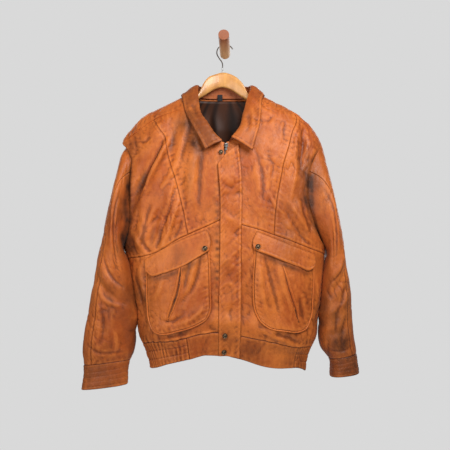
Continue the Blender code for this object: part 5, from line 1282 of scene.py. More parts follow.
class JACKET_OT_sleeves(Operator):
    """Upper and under sleeves, sewn into the armholes, with their folds at the elbow"""
    bl_idname = "jacket.sleeves"
    bl_label = "Sleeves"

    def execute(self, context):
        for number, side in enumerate(SIDES):
            for part, first, last in (("upper", LAST_SEAM - 2 * math.pi, FIRST_SEAM),
                                      ("under", FIRST_SEAM, LAST_SEAM)):
                self.sleeve(side, part, first, last, number)
        return {"FINISHED"}

    def sleeve(self, side, part, first, last, number):
        s = sizes()
        shares = spaced(SLEEVE_LENGTH, s.grid * 1.1)
        turns = first + (last - first) * spaced((last - first) * SLEEVE_RADIUS, s.grid * 1.1)
        points, out, share, turn = sleeve_surface(side, shares, turns)
        cloth = Cloth(points, out, {"right": "single" if part == "upper" else "plain"})
        if side == "left":
            head = np.exp(-(((turn + math.pi) % (2 * math.pi) - math.pi) / 0.9) ** 2)
            cloth.lift -= HEAD_SINK * head * np.exp(-((share - 0.010) / 0.030) ** 2)
        settled = np.clip(share / 0.1, 0, 1)
        cloth.lift += settled * sleeve_fold_height(share, turn, SLEEVE_CREASES[side])
        slack = 0.7 + 0.9 * np.exp(-((share - 0.55) / 0.16) ** 2) + 0.8 * np.clip(
            (share - 0.8) / 0.2, 0, 1)
        cloth.lift += settled * slack * creased(points, s.crease * 0.8, 50 + number,
                                                (1.3, 1.1, 0.42))
        inner = np.clip(-np.cos(turn), 0, 1) ** 2
        pressed = inner * np.clip(share / 0.12, 0, 1) * np.clip((0.80 - share) / 0.08, 0, 1)
        reach, full = PRESSED[side]
        cloth.lift = cloth.lift * (1 - pressed) + reach * pressed * np.clip(share / full, 0.3, 1)
        cloth.sew(s.pucker * 0.8, number)
        cloth.lift[0] = 0
        # Old stains, patches of painted shade, and painted shade over the whole sleeve
        cloth.stain += stains_and_shade_at(points) + SLEEVE_SHADE[side]
        # Painted shade where the sleeve's front meets the armhole, on its inner side towards the
        # body, and along the shade lines of the fronts
        front = np.clip(np.sin(turn) * 1.6, 0, 1) * np.clip(1 - 1.1 * np.cos(turn), 0, 1)
        cloth.stain += 0.75 * front * np.exp(-(share * SLEEVE_LENGTH / 0.013) ** 2)
        cloth.stain += 0.55 * np.clip(-np.cos(turn) - 0.45, 0, 1)
        cloth.stain += 0.8 * front * fold_height(np.abs(points[..., 0]) * SIDES[side],
                                                 points[..., 2], PAINTED_SHADE_TABLE)
        shell(cloth, f"leather_sleeve_{part}_{side}", s.leather, leather_material(),
              f"sleeve_{part}_{side}")
        keep_stitches(cloth)


CUFF_ROWS = 5
CUFF_WALL = 0.0028
# Darkening of the cuffs: dirt on both, with painted shade added on the right
CUFF_DIRT_AND_SHADE = {"left": 0.16, "right": 0.42}


class JACKET_OT_cuffs(Operator):
    """Straight cuffs of doubled leather with five rows of stitches round each"""
    bl_idname = "jacket.cuffs"
    bl_label = "Cuffs"

    def execute(self, context):
        s, leather = sizes(), leather_material()
        for number, side in enumerate(SIDES):
            shares = CUFF_START + (CUFF_END - CUFF_START) * spaced(CUFF_DEPTH, 0.0016)
            turns = np.linspace(0, 2 * math.pi, 97)[:-1]
            points, out, share, _ = sleeve_surface(side, shares, turns, ring=True)
            cloth = Cloth(points, out, {}, ring=True)
            level = (share - CUFF_START) / (CUFF_END - CUFF_START)
            places = (np.arange(CUFF_ROWS) + 0.6) / (CUFF_ROWS + 0.2)
            for place in places:
                cloth.lift -= 0.0007 * np.exp(-((level - place) * CUFF_DEPTH / 0.0012) ** 2)
            cloth.lift += creased(points, s.crease * 0.55, 60 + number, (0.6, 0.6, 1.4))
            cloth.sew(s.pucker * 0.4, number)
            cloth.stain += stains_and_shade_at(points) + CUFF_DIRT_AND_SHADE[side]
            shell(cloth, f"leather_cuff_{side}", CUFF_WALL, leather, f"cuff_{side}")
            made = cloth.points()
            loop = np.append(np.arange(made.shape[1]), 0)
            for place in places:
                row = int(np.argmin(np.abs(level[:, 0] - place)))
                STITCHES.append((made[row][loop], out[row][loop]))
        return {"FINISHED"}


ELASTIC = {"left": (-20, -118), "right": (52, 140)}
GATHERS, ELASTIC_ROWS = 22, (0.34, 0.66)
BAND_GAP, BAND_DEPTH = 0.0006, 0.062


def band_cloth(first, last, gathers, seed):
    """A stretch of waistband between two angles in degrees, with so many gathers."""
    s = sizes()
    probe = np.radians(np.linspace(first, last, 60))
    top = smooth_skin(probe, BAND_TOP((np.degrees(probe) + 180) % 360 - 180))
    u = spaced(float(run_along(top, 0)[-1]), 0.0018 if gathers else s.grid * 0.8)
    v = spaced(BAND_DEPTH, 0.0024)
    degrees = first + (last - first) * u
    wrapped = (degrees + 180) % 360 - 180
    heights = ((BAND_TOP(wrapped) - BAND_GAP)[None] * (1 - v[:, None])
               + HEM(wrapped)[None] * v[:, None])
    angles = np.radians(degrees)[None] + 0 * heights
    base, out = folded_skin(angles, heights), outward(folded_skin, angles, heights)
    if last < first:
        base, out, u = base[:, ::-1], out[:, ::-1], u[::-1]
    cloth = Cloth(base, out, {"top": "plain", "bottom": "plain" if gathers else "single"})
    if gathers:
        wander = noise_field(base, 0.030, (1, 1, 0.5), seed)
        wave = np.cos(2 * math.pi * gathers * u[None] + wander * 5)
        fade = np.minimum(1, np.minimum(u, 1 - u) * gathers)[None]
        between = 0.55 + 0.45 * np.cos(4 * math.pi * v)[:, None]
        slack = np.clip(0.75 + 1.3 * noise_field(base, 0.022, (1, 1, 0.6), seed + 2), 0.15, 1.3)
        cloth.lift += 0.0013 * (wave - 0.4) * fade * slack * (0.5 + 0.5 * between)
        for place in ELASTIC_ROWS:
            cloth.lift -= 0.0012 * np.exp(-((v - place)[:, None] * BAND_DEPTH / 0.0017) ** 2)
    cloth.lift += creased(base, s.crease * 0.7, seed)
    return cloth.sew(s.pucker * 0.8, seed)


class JACKET_OT_waistband(Operator):
    """The waistband: plain at the front and back, gathered over elastic at the sides"""
    bl_idname = "jacket.waistband"
    bl_label = "Waistband"

    def execute(self, context):
        bands = {"waistband_front_left": (-1.5, ELASTIC["left"][0], 0),
                 "waistband_front_right": (1.5, ELASTIC["right"][0], 0),
                 "waistband_elastic_left": (*ELASTIC["left"], GATHERS),
                 "waistband_elastic_right": (*ELASTIC["right"], GATHERS),
                 "waistband_back": (ELASTIC["right"][1], 360 + ELASTIC["left"][1], 0)}
        for number, (name, (first, last, gathers)) in enumerate(bands.items()):
            cloth = band_cloth(first, last, gathers, 70 + number)
            cloth.stain += stains_and_shade_at(cloth.base) + 0.14
            shell(cloth, f"leather_{name}", sizes().leather, leather_material(), name)
            keep_stitches(cloth)
            if gathers:
                made = cloth.points()
                for share in ELASTIC_ROWS:
                    row = int(share * len(made))
                    STITCHES.append((made[row], cloth.out[row]))
        return {"FINISHED"}


# What lies on the fronts
POCKET = {
    "left": {"outer": [(-0.1800, -0.521), (-0.1820, -0.565), (-0.1820, -0.611), (-0.1760, -0.665),
                       (-0.1640, -0.686)],
             "bottom": [(-0.1640, -0.686), (-0.1500, -0.690), (-0.1100, -0.682),
                        (-0.0700, -0.669), (-0.0450, -0.655)],
             "inner": [(-0.0440, -0.462), (-0.0400, -0.506), (-0.0370, -0.600), (-0.0370, -0.636),
                       (-0.0450, -0.655)],
             "top": [(-0.1800, -0.521), (-0.1100, -0.490), (-0.0440, -0.462)],
             "slit": [(0.55, 0.24), (0.50, 0.45), (0.30, 0.84)]},
    "right": {"outer": [(0.2080, -0.515), (0.2080, -0.560), (0.2060, -0.610), (0.2020, -0.655),
                        (0.1900, -0.680)],
              "bottom": [(0.1900, -0.680), (0.1740, -0.6855), (0.1400, -0.682), (0.1050, -0.675),
                         (0.0840, -0.660)],
              "inner": [(0.0740, -0.466), (0.0720, -0.510), (0.0680, -0.587), (0.0740, -0.640),
                        (0.0840, -0.660)],
              "top": [(0.2080, -0.515), (0.1400, -0.493), (0.0740, -0.466)],
              "slit": [(0.54, 0.20), (0.42, 0.45), (0.22, 0.86)]},
}
FLAP = {
    "left": {"top": [(-0.1890, -0.5160), (-0.1080, -0.4720), (-0.0420, -0.4460)],
             "bottom": [(-0.1840, -0.546), (-0.1690, -0.5565), (-0.1450, -0.550), (-0.1050, -0.536),
                        (-0.0600, -0.510), (-0.0372, -0.496)],
             "outer": [(-0.1890, -0.5160), (-0.1870, -0.531), (-0.1840, -0.546)],
             "inner": [(-0.0420, -0.4460), (-0.0330, -0.475), (-0.0372, -0.496)]},
    "right": {"top": [(0.2120, -0.5040), (0.1430, -0.4780), (0.0740, -0.4500)],
              "bottom": [(0.2070, -0.536), (0.1970, -0.5430), (0.1700, -0.534), (0.1390, -0.522),
                         (0.1000, -0.506), (0.0670, -0.494)],
              "outer": [(0.2120, -0.5040), (0.2120, -0.521), (0.2070, -0.536)],
              "inner": [(0.0740, -0.4500), (0.0640, -0.475), (0.0670, -0.494)]},
}
LAY, POCKET_FULLNESS = 0.0028, 0.0042
FLAP_LIFT, FLAP_WALL = (0.0024, 0.0100), 0.0024
# The lip and the gap of a hand opening in section: (across, out, painted shade in the gap)
SLIT_PROFILE = [(-0.0074, -0.0010, 0), (-0.0068, 0.0010, 0), (-0.0052, 0.0026, 0),
                (-0.0028, 0.0034, 0), (-0.0004, 0.0028, 0.15), (0.0006, 0.0012, 0.95),
                (0.0010, 0.0003, 1), (0.0040, 0.0003, 1), (0.0046, 0.0012, 0.5),
                (0.0060, 0.0020, 0.1), (0.0078, 0.0014, 0), (0.0086, -0.0010, 0)]
SLIT_WALL = 0.0006
PIPING_RADIUS, PIPING_ASIDE, PIPING_LIFT = 0.0021, 0.0022, 0.0016


def line_length(points):
    return float(run_along(np.array([(x, z, 0) for x, z in points], float), 0)[-1])


def laid_on_front(shape, step):
    """Base points of a patch of (x, z) on the front, with its shares across and down."""
    u = spaced(line_length(shape["bottom"]), step)
    v = spaced(line_length(shape["inner"]), step)
    x, z = coons(path(*shape["top"]), path(*shape["bottom"]), path(*shape["outer"]),
                 path(*shape["inner"]), v, u)
    if x[0, 0] > x[0, -1]:
        x, z, u = x[:, ::-1], z[:, ::-1], u[::-1]
    a = front_angle(x, z)
    return folded_skin(a, z), outward(folded_skin, a, z), x, z, v[:, None], u[None]


class JACKET_OT_pockets(Operator):
    """Full patch pockets with piping round them and a slanted hand opening in each"""
    bl_idname = "jacket.pockets"
    bl_label = "Pockets"

    def execute(self, context):
        s, leather = sizes(), leather_material()
        for number, side in enumerate(SIDES):
            base, out, x, z, v, u = laid_on_front(POCKET[side], s.grid * 0.8)
            cloth = Cloth(base, out, {"left": "single", "right": "single", "bottom": "single"})
            full = np.sin(np.pi * u) * np.sin(np.pi * v ** 0.8)
            cloth.lift += LAY + POCKET_FULLNESS * full ** 0.8
            cloth.lift += 1.3 * fold_height(x, z, POCKET_TABLE)
            cloth.lift += 0.75 * creased(base, s.crease, 80 + number) + s.crease * 0.4
            cloth.sew(s.pucker, 80 + number)
            # Old stains, patches of painted shade, and painted shadow under the flap
            cloth.stain += stains_and_shade_at(base) + fold_height(x, z, FLAP_SHADOW_TABLE)
            shell(cloth, f"leather_pocket_{side}", s.leather, leather, f"pocket_{side}")
            keep_stitches(cloth)
            self.hand_opening(side, cloth, u, v)
            self.piping(side)
        return {"FINISHED"}

    def hand_opening(self, side, cloth, u, v):
        """The lip beside the opening and the gap behind it, painted dark as shade, in one strip."""
        t = np.linspace(0, 1, 40)
        share_u, share_v = path(*POCKET[side]["slit"])(t).T
        points = cloth.points()
        order_u, order_v = np.argsort(u[0]), np.argsort(v[:, 0])
        middle, out = [], []
        for a, b in zip(share_u, share_v):
            i = int(np.searchsorted(v[order_v, 0], b))
            row_p, row_o = points[order_v][i][order_u], cloth.out[order_v][i][order_u]
            middle.append([np.interp(a, u[0][order_u], row_p[:, k]) for k in range(3)])
            out.append([np.interp(a, u[0][order_u], row_o[:, k]) for k in range(3)])
        middle, out = smoothed(np.array(middle)), unit(smoothed(np.array(out)))
        along = unit(np.gradient(middle, axis=0))
        across = unit(np.cross(out, along)) * -SIDES[side]
        taper = np.sin(np.pi * np.clip(t, 0.02, 0.98)) ** 0.35
        grid = np.stack([middle + across * (w * taper)[:, None] + out * (h * taper)[:, None]
                         for w, h, _ in SLIT_PROFILE], axis=1)
        way = -1 if SIDES[side] > 0 else 1
        normals = np.cross(*(np.gradient(grid[:, ::way], axis=axis) for axis in (1, 0)))
        if np.sum(normals.mean(axis=(0, 1)) * out.mean(axis=0)) > 0:
            way = -way
        strip = Cloth(grid[:, ::way], np.repeat(out[:, None], len(SLIT_PROFILE), axis=1))
        # The gap is painted dark as shade
        strip.stain += np.array([dark for _, _, dark in SLIT_PROFILE], float)[::way]
        shell(strip, f"leather_pocket_opening_{side}", SLIT_WALL, leather_material(),
              f"pocket_welt_{side}")

    def piping(self, side):
        shape = POCKET[side]
        t = np.linspace(0, 1, 40)
        route = np.concatenate([path(*shape["outer"])(t[1:])[:-1], path(*shape["bottom"])(t),
                                path(*shape["inner"])(t[::-1][:-1])[1:]])
        tangent = unit(np.gradient(smoothed(route), axis=0))
        aside = np.stack([tangent[:, 1], -tangent[:, 0]], -1)
        aside *= np.sign(np.sum(aside * (route - route.mean(axis=0)), axis=1))[:, None]
        x, z = smoothed(route + aside * PIPING_ASIDE).T
        a = front_angle(x, z)
        out = outward(folded_skin, a, z)
        points = folded_skin(a, z) + out * PIPING_LIFT
        mesh = tube_mesh(f"leather_pocket_piping_{side}", points, PIPING_RADIUS, 10)
        for label, value in (("edge", 0.01), ("hollow", -0.35), ("stain", 0.0)):
            write_attribute(mesh, label, np.full(len(mesh.vertices), value))
        placed(mesh.name, mesh, leather_material(), f"pocket_piping_{side}")


def smoothed(points, passes=3):
    points = np.array(points, float)
    for _ in range(passes):
        points[1:-1] = (points[:-2] + 2 * points[1:-1] + points[2:]) / 4
    return points


def tube_mesh(name, points, radius, sides):
    """A round tube along points, closed at both ends, made from a bevelled curve."""
    curve = bpy.data.curves.new(name, "CURVE")
    curve.dimensions = "3D"
    curve.bevel_depth = radius
    curve.bevel_resolution = max(1, sides // 2 - 2)
    curve.use_fill_caps = True
    line = curve.splines.new("POLY")
    line.points.add(len(points) - 1)
    for point, place in zip(line.points, points):
        point.co = (*place, 1)
    guide = bpy.data.objects.new(name + " route", curve)
    bpy.context.scene.collection.objects.link(guide)
    shape = guide.evaluated_get(bpy.context.evaluated_depsgraph_get())
    mesh = bpy.data.meshes.new_from_object(shape)
    bpy.data.objects.remove(guide)
    outward_faces(mesh)
    mesh.name = name
    return mesh


def outward_faces(mesh):
    """Merges doubled points and turns every face outwards."""
    work = bmesh.new()
    work.from_mesh(mesh)
    bmesh.ops.remove_doubles(work, verts=work.verts, dist=1e-6)
    bmesh.ops.recalc_face_normals(work, faces=work.faces)
    work.to_mesh(mesh)
    work.free()


class JACKET_OT_pocket_flaps(Operator):
    """Shaped pocket flaps that stand off the pockets, double stitched along their free edge"""
    bl_idname = "jacket.pocket_flaps"
    bl_label = "Pocket flaps"

    def execute(self, context):
        s, leather = sizes(), leather_material()
        for number, side in enumerate(SIDES):
            base, out, _, _, v, u = laid_on_front(FLAP[side], s.grid * 0.7)
            cloth = Cloth(base, out, {"left": "single", "right": "single", "bottom": "double",
                                      "top": "single"})
            cloth.lift += FLAP_LIFT[0] + (FLAP_LIFT[1] - FLAP_LIFT[0]) * np.sqrt(v) + 0 * u
            cloth.lift += 0.5 * creased(base, s.crease, 90 + number, (0.6, 1, 0.6))
            cloth.lift += 0.0012 * np.sin(9 * u + 2 * number) * v
            cloth.sew(s.pucker * 0.6, 90 + number)
            cloth.stain += stains_and_shade_at(base)
            shell(cloth, f"leather_pocket_flap_{side}", FLAP_WALL, leather, f"pocket_flap_{side}")
            keep_stitches(cloth)
        return {"FINISHED"}


STORM_FLAP = {
    "left": [(-0.0175, -0.292), (-0.0130, -0.340), (-0.0120, -0.480), (-0.0150, -0.640),
             (-0.0155, -0.7435)],
    "right": [(0.0330, -0.2440), (0.0385, -0.300), (0.0385, -0.480), (0.0380, -0.640),
              (0.0350, -0.7495)],
    "top": [(-0.0175, -0.292), (0.0060, -0.264), (0.0330, -0.2440)],
    "bottom": [(-0.0155, -0.7435), (0.0050, -0.7435), (0.0350, -0.7495)],
}
STORM_LIFT, STORM_CURL, STORM_WALL = 0.0036, 0.009, 0.0022
STORM_CREASES = [
    (0.0060, -0.0022, [(-0.010, -0.330), (0.006, -0.345), (0.026, -0.350)]),
    (0.0060, 0.0022, [(-0.008, -0.400), (0.010, -0.420), (0.030, -0.425)]),
    (0.0055, -0.0022, [(0.030, -0.450), (0.012, -0.478), (-0.006, -0.492)]),
    (0.0060, 0.0024, [(0.032, -0.485), (0.014, -0.512), (-0.008, -0.522)]),
    (0.0055, -0.0024, [(0.030, -0.525), (0.014, -0.548), (-0.002, -0.556)]),
    (0.0060, 0.0022, [(-0.008, -0.580), (0.012, -0.572), (0.030, -0.590)]),
    (0.0055, -0.0022, [(0.028, -0.610), (0.012, -0.640), (0.016, -0.672)]),
    (0.0060, 0.0020, [(0.000, -0.620), (0.006, -0.655), (0.024, -0.690)]),
    (0.0050, -0.0020, [(-0.006, -0.700), (0.012, -0.712), (0.030, -0.706)]),
]


class JACKET_OT_storm_flap(Operator):
    """The flap over the zip, wrinkled from wear, its open top corner curling out"""
    bl_idname = "jacket.storm_flap"
    bl_label = "Storm flap"

    def execute(self, context):
        s = sizes()
        v = spaced(0.49, 0.0032)
        u = spaced(0.052, 0.0030)
        edges = [path(*STORM_FLAP[edge]) for edge in ("top", "bottom", "left", "right")]
        x, z = coons(*edges, v, u)
        a = front_angle(x, z)
        cloth = Cloth(folded_skin(a, z), outward(folded_skin, a, z),
                      {"left": "single", "right": "double", "top": "single", "bottom": "single"})
        loose = np.clip((z + 0.42) / 0.16, 0, 1) ** 2 * np.clip((0.034 - x) / 0.045, 0, 1)
        cloth.lift += STORM_LIFT + STORM_CURL * loose
        cloth.lift += 0.6 * fold_height(x, z, fold_table(STORM_CREASES))
        cloth.lift += 1.1 * creased(cloth.base, s.crease, 100, (0.6, 1, 1.5))
        cloth.sew(s.pucker, 100)
        cloth.stain += stains_and_shade_at(cloth.base)
        shell(cloth, "leather_storm_flap", STORM_WALL, leather_material(), "storm_flap")
        keep_stitches(cloth)
        return {"FINISHED"}


# Collar
ROLL = [(-0.0058, -0.1680, -0.2370), (-0.0258, -0.1600, -0.2165), (-0.0420, -0.1480, -0.1905),
        (-0.0565, -0.1330, -0.1690), (-0.0640, -0.1120, -0.1350), (-0.0660, -0.0800, -0.0960),
        (-0.0605, -0.0420, -0.0905), (-0.0330, -0.0325, -0.0890), (0.0000, -0.0305, -0.0885),
        (0.0320, -0.0325, -0.0890), (0.0560, -0.0430, -0.0910), (0.0630, -0.0800, -0.0970),
        (0.0545, -0.1120, -0.1345), (0.0430, -0.1340, -0.1700), (0.0378, -0.1470, -0.1960),
        (0.0300, -0.1570, -0.2110), (0.0145, -0.1680, -0.2300)]
FALL_EDGE = [(-0.0470, -0.1700, -0.2585), (-0.0590, -0.1640, -0.2330), (-0.0730, -0.1550, -0.2080),
             (-0.0915, -0.1360, -0.1730), (-0.1005, -0.1180, -0.1480),
             (-0.1060, -0.0840, -0.1180), (-0.0960, -0.0260, -0.1390),
             (-0.0500, -0.0130, -0.1490), (0.0000, -0.0110, -0.1520),
             (0.0480, -0.0130, -0.1490), (0.0900, -0.0260, -0.1380), (0.0960, -0.0840, -0.1160),
             (0.0890, -0.1160, -0.1480), (0.0860, -0.1400, -0.1760), (0.0820, -0.1540, -0.2010),
             (0.0745, -0.1640, -0.2270), (0.0645, -0.1700, -0.2610)]
NECK_EDGE = {
    "left": [(-0.0100, -0.2400), (-0.0300, -0.2250), (-0.0500, -0.2015), (-0.0660, -0.1740)],
    "right": [(0.0100, -0.2400), (0.0320, -0.2230), (0.0500, -0.1985), (0.0640, -0.1720)],
}
COLLAR_CREASES = [
    (0.0060, -0.0035, [(-0.080, -0.140), (-0.074, -0.160), (-0.062, -0.180)]),
    (0.0060, 0.0030, [(-0.088, -0.150), (-0.080, -0.172), (-0.066, -0.192)]),
    (0.0050, -0.0025, [(-0.068, -0.140), (-0.070, -0.152), (-0.064, -0.168)]),
    (0.0070, 0.0028, [(0.062, -0.150), (0.068, -0.180), (0.060, -0.205)]),
    (0.0060, -0.0026, [(0.052, -0.175), (0.058, -0.200), (0.048, -0.220)]),
]
FALL_FULLNESS, FALL_CLEAR, SHOULDER_BELOW = 0.0050, 0.0050, -0.165
ROLL_RADIUS, COLLAR_WALL, STAND_WALL, STAND_INSIDE = 0.0016, 0.0016, 0.0018, 0.0036


def neck_edge():
    points = []
    for x, z in NECK_EDGE["left"]:
        points.append(folded_skin(front_angle(np.array(x), np.array(z)), np.array(z)))
    for degrees, z in BACK_NECK[::-1]:
        points.append(folded_skin(np.array(math.radians(degrees)), np.array(z + 0.0008)))
    for x, z in NECK_EDGE["right"][::-1]:
        points.append(folded_skin(front_angle(np.array(x), np.array(z)), np.array(z)))
    return path(*points)


def clear_of_body(points, share):
    """Lifts the collar's fall off the shoulders and forward off the fronts."""
    x, y, z = np.moveaxis(points.copy(), -1, 0)
    margin = FALL_CLEAR * np.minimum(1, 4 * share)
    over = (np.abs(x) < 0.97 * half_width(z, x >= 0)) & (y < MIDDLE(z)) & (z < SHOULDER_BELOW)
    front = folded_skin(front_angle(x, z), z)[..., 1] - margin
    y = np.where(over, np.minimum(y, front), y)
    for _ in range(16):
        below = z - 1.5 * margin
        depth = np.where(y < MIDDLE(below), DEPTH_FRONT(below), DEPTH_BACK(below))
        inside = ((np.abs(x) / half_width(below, x >= 0)) ** WIDTH_POWER
                  + (np.abs(y - MIDDLE(below)) / depth) ** DEPTH_POWER) < 1
        z = z + 0.001 * (inside & (z > SHOULDER_BELOW))
    smooth = np.stack([x, y, z], axis=-1)
    for _ in range(4):
        smooth[1:-1, 1:-1] = (smooth[:-2, 1:-1] + smooth[2:, 1:-1] + smooth[1:-1, :-2]
                              + smooth[1:-1, 2:] + 2 * smooth[1:-1, 1:-1]) / 6
    return smooth


def grid_out(points):
    return unit(np.cross(np.gradient(points, axis=1), np.gradient(points, axis=0)))


class JACKET_OT_collar(Operator):
    """The collar: its fall turned over the roll, double stitched, and the stand inside"""
    bl_idname = "jacket.collar"
    bl_label = "Collar"

    def execute(self, context):
        s = sizes()
        share = spaced(0.62, s.grid * 0.9)
        stations = np.linspace(0, 1, len(ROLL))
        roll = Track(*[(t, *p) for t, p in zip(stations, ROLL)])(share)
        edge = Track(*[(t, *p) for t, p in zip(stations, FALL_EDGE)])(share)
        v = spaced(0.060, s.grid * 0.8)[:, None, None]
        fall = roll[None] * (1 - v) + edge[None] * v
        fall = fall + grid_out(fall) * (FALL_FULLNESS * np.sin(np.pi * v ** 0.6))
        fall = clear_of_body(fall, v[..., 0])
        out = grid_out(fall)
        rise = unit(fall[0] - fall[2])
        turn = np.linspace(math.pi, 0, 7)[:-1, None, None]
        over = (fall[:1] - out[:1] * ROLL_RADIUS
                + (out[:1] * np.cos(turn) + rise[None] * np.sin(turn)) * ROLL_RADIUS)
        fall = np.concatenate([over, fall])
        cloth = Cloth(fall, unit(grid_out(fall)), {"bottom": "double", "left": "double",
                                                   "right": "double"})
        below = np.clip(cloth.distance["top"] / 0.012, 0, 1)
        cloth.lift += creased(fall, s.crease * 0.8, 110, (1, 1, 0.9)) * below
        cloth.lift += fold_height(fall[..., 0], fall[..., 2], fold_table(COLLAR_CREASES)) * below
        cloth.sew(s.pucker * 0.8, 110)
        # Painted shade on the left half of the fall, over its stains, and the whole fall a little
        # darker
        left = np.clip(-fall[..., 0] / 0.02, 0, 1) * (fall[..., 1] < -0.06)
        cloth.stain += stains_and_shade_at(fall) * 0.4 + 0.36 * left + 0.20
        shell(cloth, "leather_collar_fall", COLLAR_WALL, leather_material(), "collar_fall")
        keep_stitches(cloth)
        top = roll - out[0] * STAND_INSIDE
        foot = neck_edge()(share)
        foot = foot + unit(top - foot) * 0.0010
        v = spaced(0.035, s.grid)[:, None, None]
        stand = top[None] * (1 - v) + foot[None] * v
        cloth = Cloth(stand, grid_out(stand), {"bottom": "single"})
        cloth.lift += creased(stand, s.crease * 0.4, 111)
        shell(cloth, "leather_collar_stand", STAND_WALL,
              leather_material("neck facing leather", True), "collar_stand")
        return {"FINISHED"}


LINING_DEPTH, SATIN_WALL = 0.0032, 0.0006


class JACKET_OT_lining(Operator):
    """Dark satin hanging in soft upright folds inside the back"""
    bl_idname = "jacket.lining"
    bl_label = "Lining"

    def execute(self, context):
        v = np.linspace(0, 1, 90)[:, None]
        degrees = np.linspace(125, 235, 120)[None]
        wrapped = (degrees + 180) % 360 - 180
        top = Track(*BACK_NECK)(degrees) - 0.0030
        heights = top * (1 - v) + (BAND_TOP(wrapped) + 0.004) * v
        angles = np.radians(degrees) + 0 * heights
        out = outward(smooth_skin, angles, heights)
        base = smooth_skin(angles, heights) - out * LINING_DEPTH
        phase = np.radians(degrees) * 40 + 1.2 * np.sin(3 * v) + 2 * noise_field(base, 0.06)
        wave = 0.0026 * (1 - np.cos(phase)) * np.minimum(1, 5 * v)
        swell = 0.0020 * noise_field(base, 0.030, (1, 1, 0.25), 120)
        cloth = Cloth(base, out)
        cloth.lift -= 0.0083 * np.minimum(1, 8 * v) + wave + 0.0018 - swell * np.minimum(1, 4 * v)
        # Painted shade on one side of each fold of the satin
        cloth.stain += 0.5 - 0.5 * np.cos(phase - 0.8)
        shell(cloth, "satin_back_lining", SATIN_WALL, satin_material(), "back_lining")
        return {"FINISHED"}


class JACKET_OT_stitching(Operator):
    """All rows of stitches in the leather, each stitch its own short length of thread"""
    bl_idname = "jacket.stitching"
    bl_label = "Stitching"

    def execute(self, context):
        s = sizes()
        points, quads = stitch_mesh(STITCHES, s.stitch_pitch, s.stitch_length, s.thread)
        mesh = triangles_and_quads("thread_stitching", points, quads)
        placed(mesh.name, mesh, thread_material(), None)
        return {"FINISHED"}


# Hardware, hanger and peg
STUD_LIFT, TOOTH_PITCH = 0.0012, 0.0030
TAPE_DEPTH, TAPE_WALL = 0.0046, 0.0008
TOOTH_SIZE, TOOTH_DEPTH, TOOTH_ASIDE, TEETH_START = (0.0036, 0.0016, 0.0015), 0.0036, 0.0009, 0.012
# Insets of a stud's cap from the rim inwards: (share of the radius, lift as share of the height)
STUD_RINGS = ((0.16, 0.0), (0.10, -0.34), (0.14, 0.0), (0.12, 0.30), (0.22, 0.16))


def select_none():
    bpy.ops.object.select_all(action="DESELECT")


def took_place(thing, name):
    """Applies a modelled object's place and modifiers and gives back its mesh."""
    for modifier in list(thing.modifiers):
        bpy.ops.object.modifier_apply(modifier=modifier.name)
    bpy.ops.object.transform_apply(location=True, rotation=True, scale=True)
    mesh = thing.data.copy()
    mesh.name = name
    bpy.data.objects.remove(thing)
    return mesh


def cylinder(radius, depth, sides, place=(0, 0, 0)):
    select_none()
    bpy.ops.mesh.primitive_cylinder_add(vertices=sides, radius=radius, depth=depth, location=place)
    return bpy.context.active_object


def select_faces(thing, test):
    """In edit mode, selects the faces that a test of their middle and normal picks."""
    bpy.ops.object.mode_set(mode="OBJECT")
    for poly in thing.data.polygons:
        poly.select = bool(test(poly.center, poly.normal))
    bpy.ops.object.mode_set(mode="EDIT")


def stud_mesh(name, radius, height):
    """A press stud cap: a rolled rim round a sunk ring and a low dome."""
    thing = cylinder(radius, height, 40, (0, 0, height / 2))
    bpy.ops.object.mode_set(mode="EDIT")
    bpy.ops.mesh.select_mode(type="FACE")
    select_faces(thing, lambda c, n: n.z > 0.9)
    for thickness, lift in STUD_RINGS:
        bpy.ops.mesh.inset(thickness=radius * thickness, depth=height * lift)
    bpy.ops.object.mode_set(mode="OBJECT")
    bevel = thing.modifiers.new("rolled rim", "BEVEL")
    bevel.width, bevel.segments, bevel.limit_method = radius * 0.09, 3, "ANGLE"
    return took_place(thing, name)


class JACKET_OT_studs(Operator):
    """Five press studs of dark antique brass"""
    bl_idname = "jacket.studs"
    bl_label = "Press studs"

    def execute(self, context):
        for node in ("snap_pocket_left", "snap_pocket_right", "snap_band_upper", "snap_band_lower",
                     "snap_neck"):
            solid = frame["nodes"][node].data
            places = np.array([v.co for v in solid.vertices])
            middle = (places.max(0) + places.min(0)) / 2
            spread = np.linalg.svd(places - places.mean(0))[2]
            way = spread[2] if spread[2][1] < 0 else -spread[2]
            radius = float(np.linalg.norm((places - middle) @ spread[:2].T, axis=1).max())
            height = float(np.ptp((places - middle) @ way))
            mesh = stud_mesh(f"stud_{node}", radius, height * 1.25)
            foot = Vector(middle - way * height / 2)
            turn = Vector(way).to_track_quat("Z", "Y").to_matrix().to_4x4()
            mesh.transform(Matrix.Translation(foot + Vector(way) * STUD_LIFT) @ turn)
            placed(mesh.name, mesh, brass(), node)
        return {"FINISHED"}


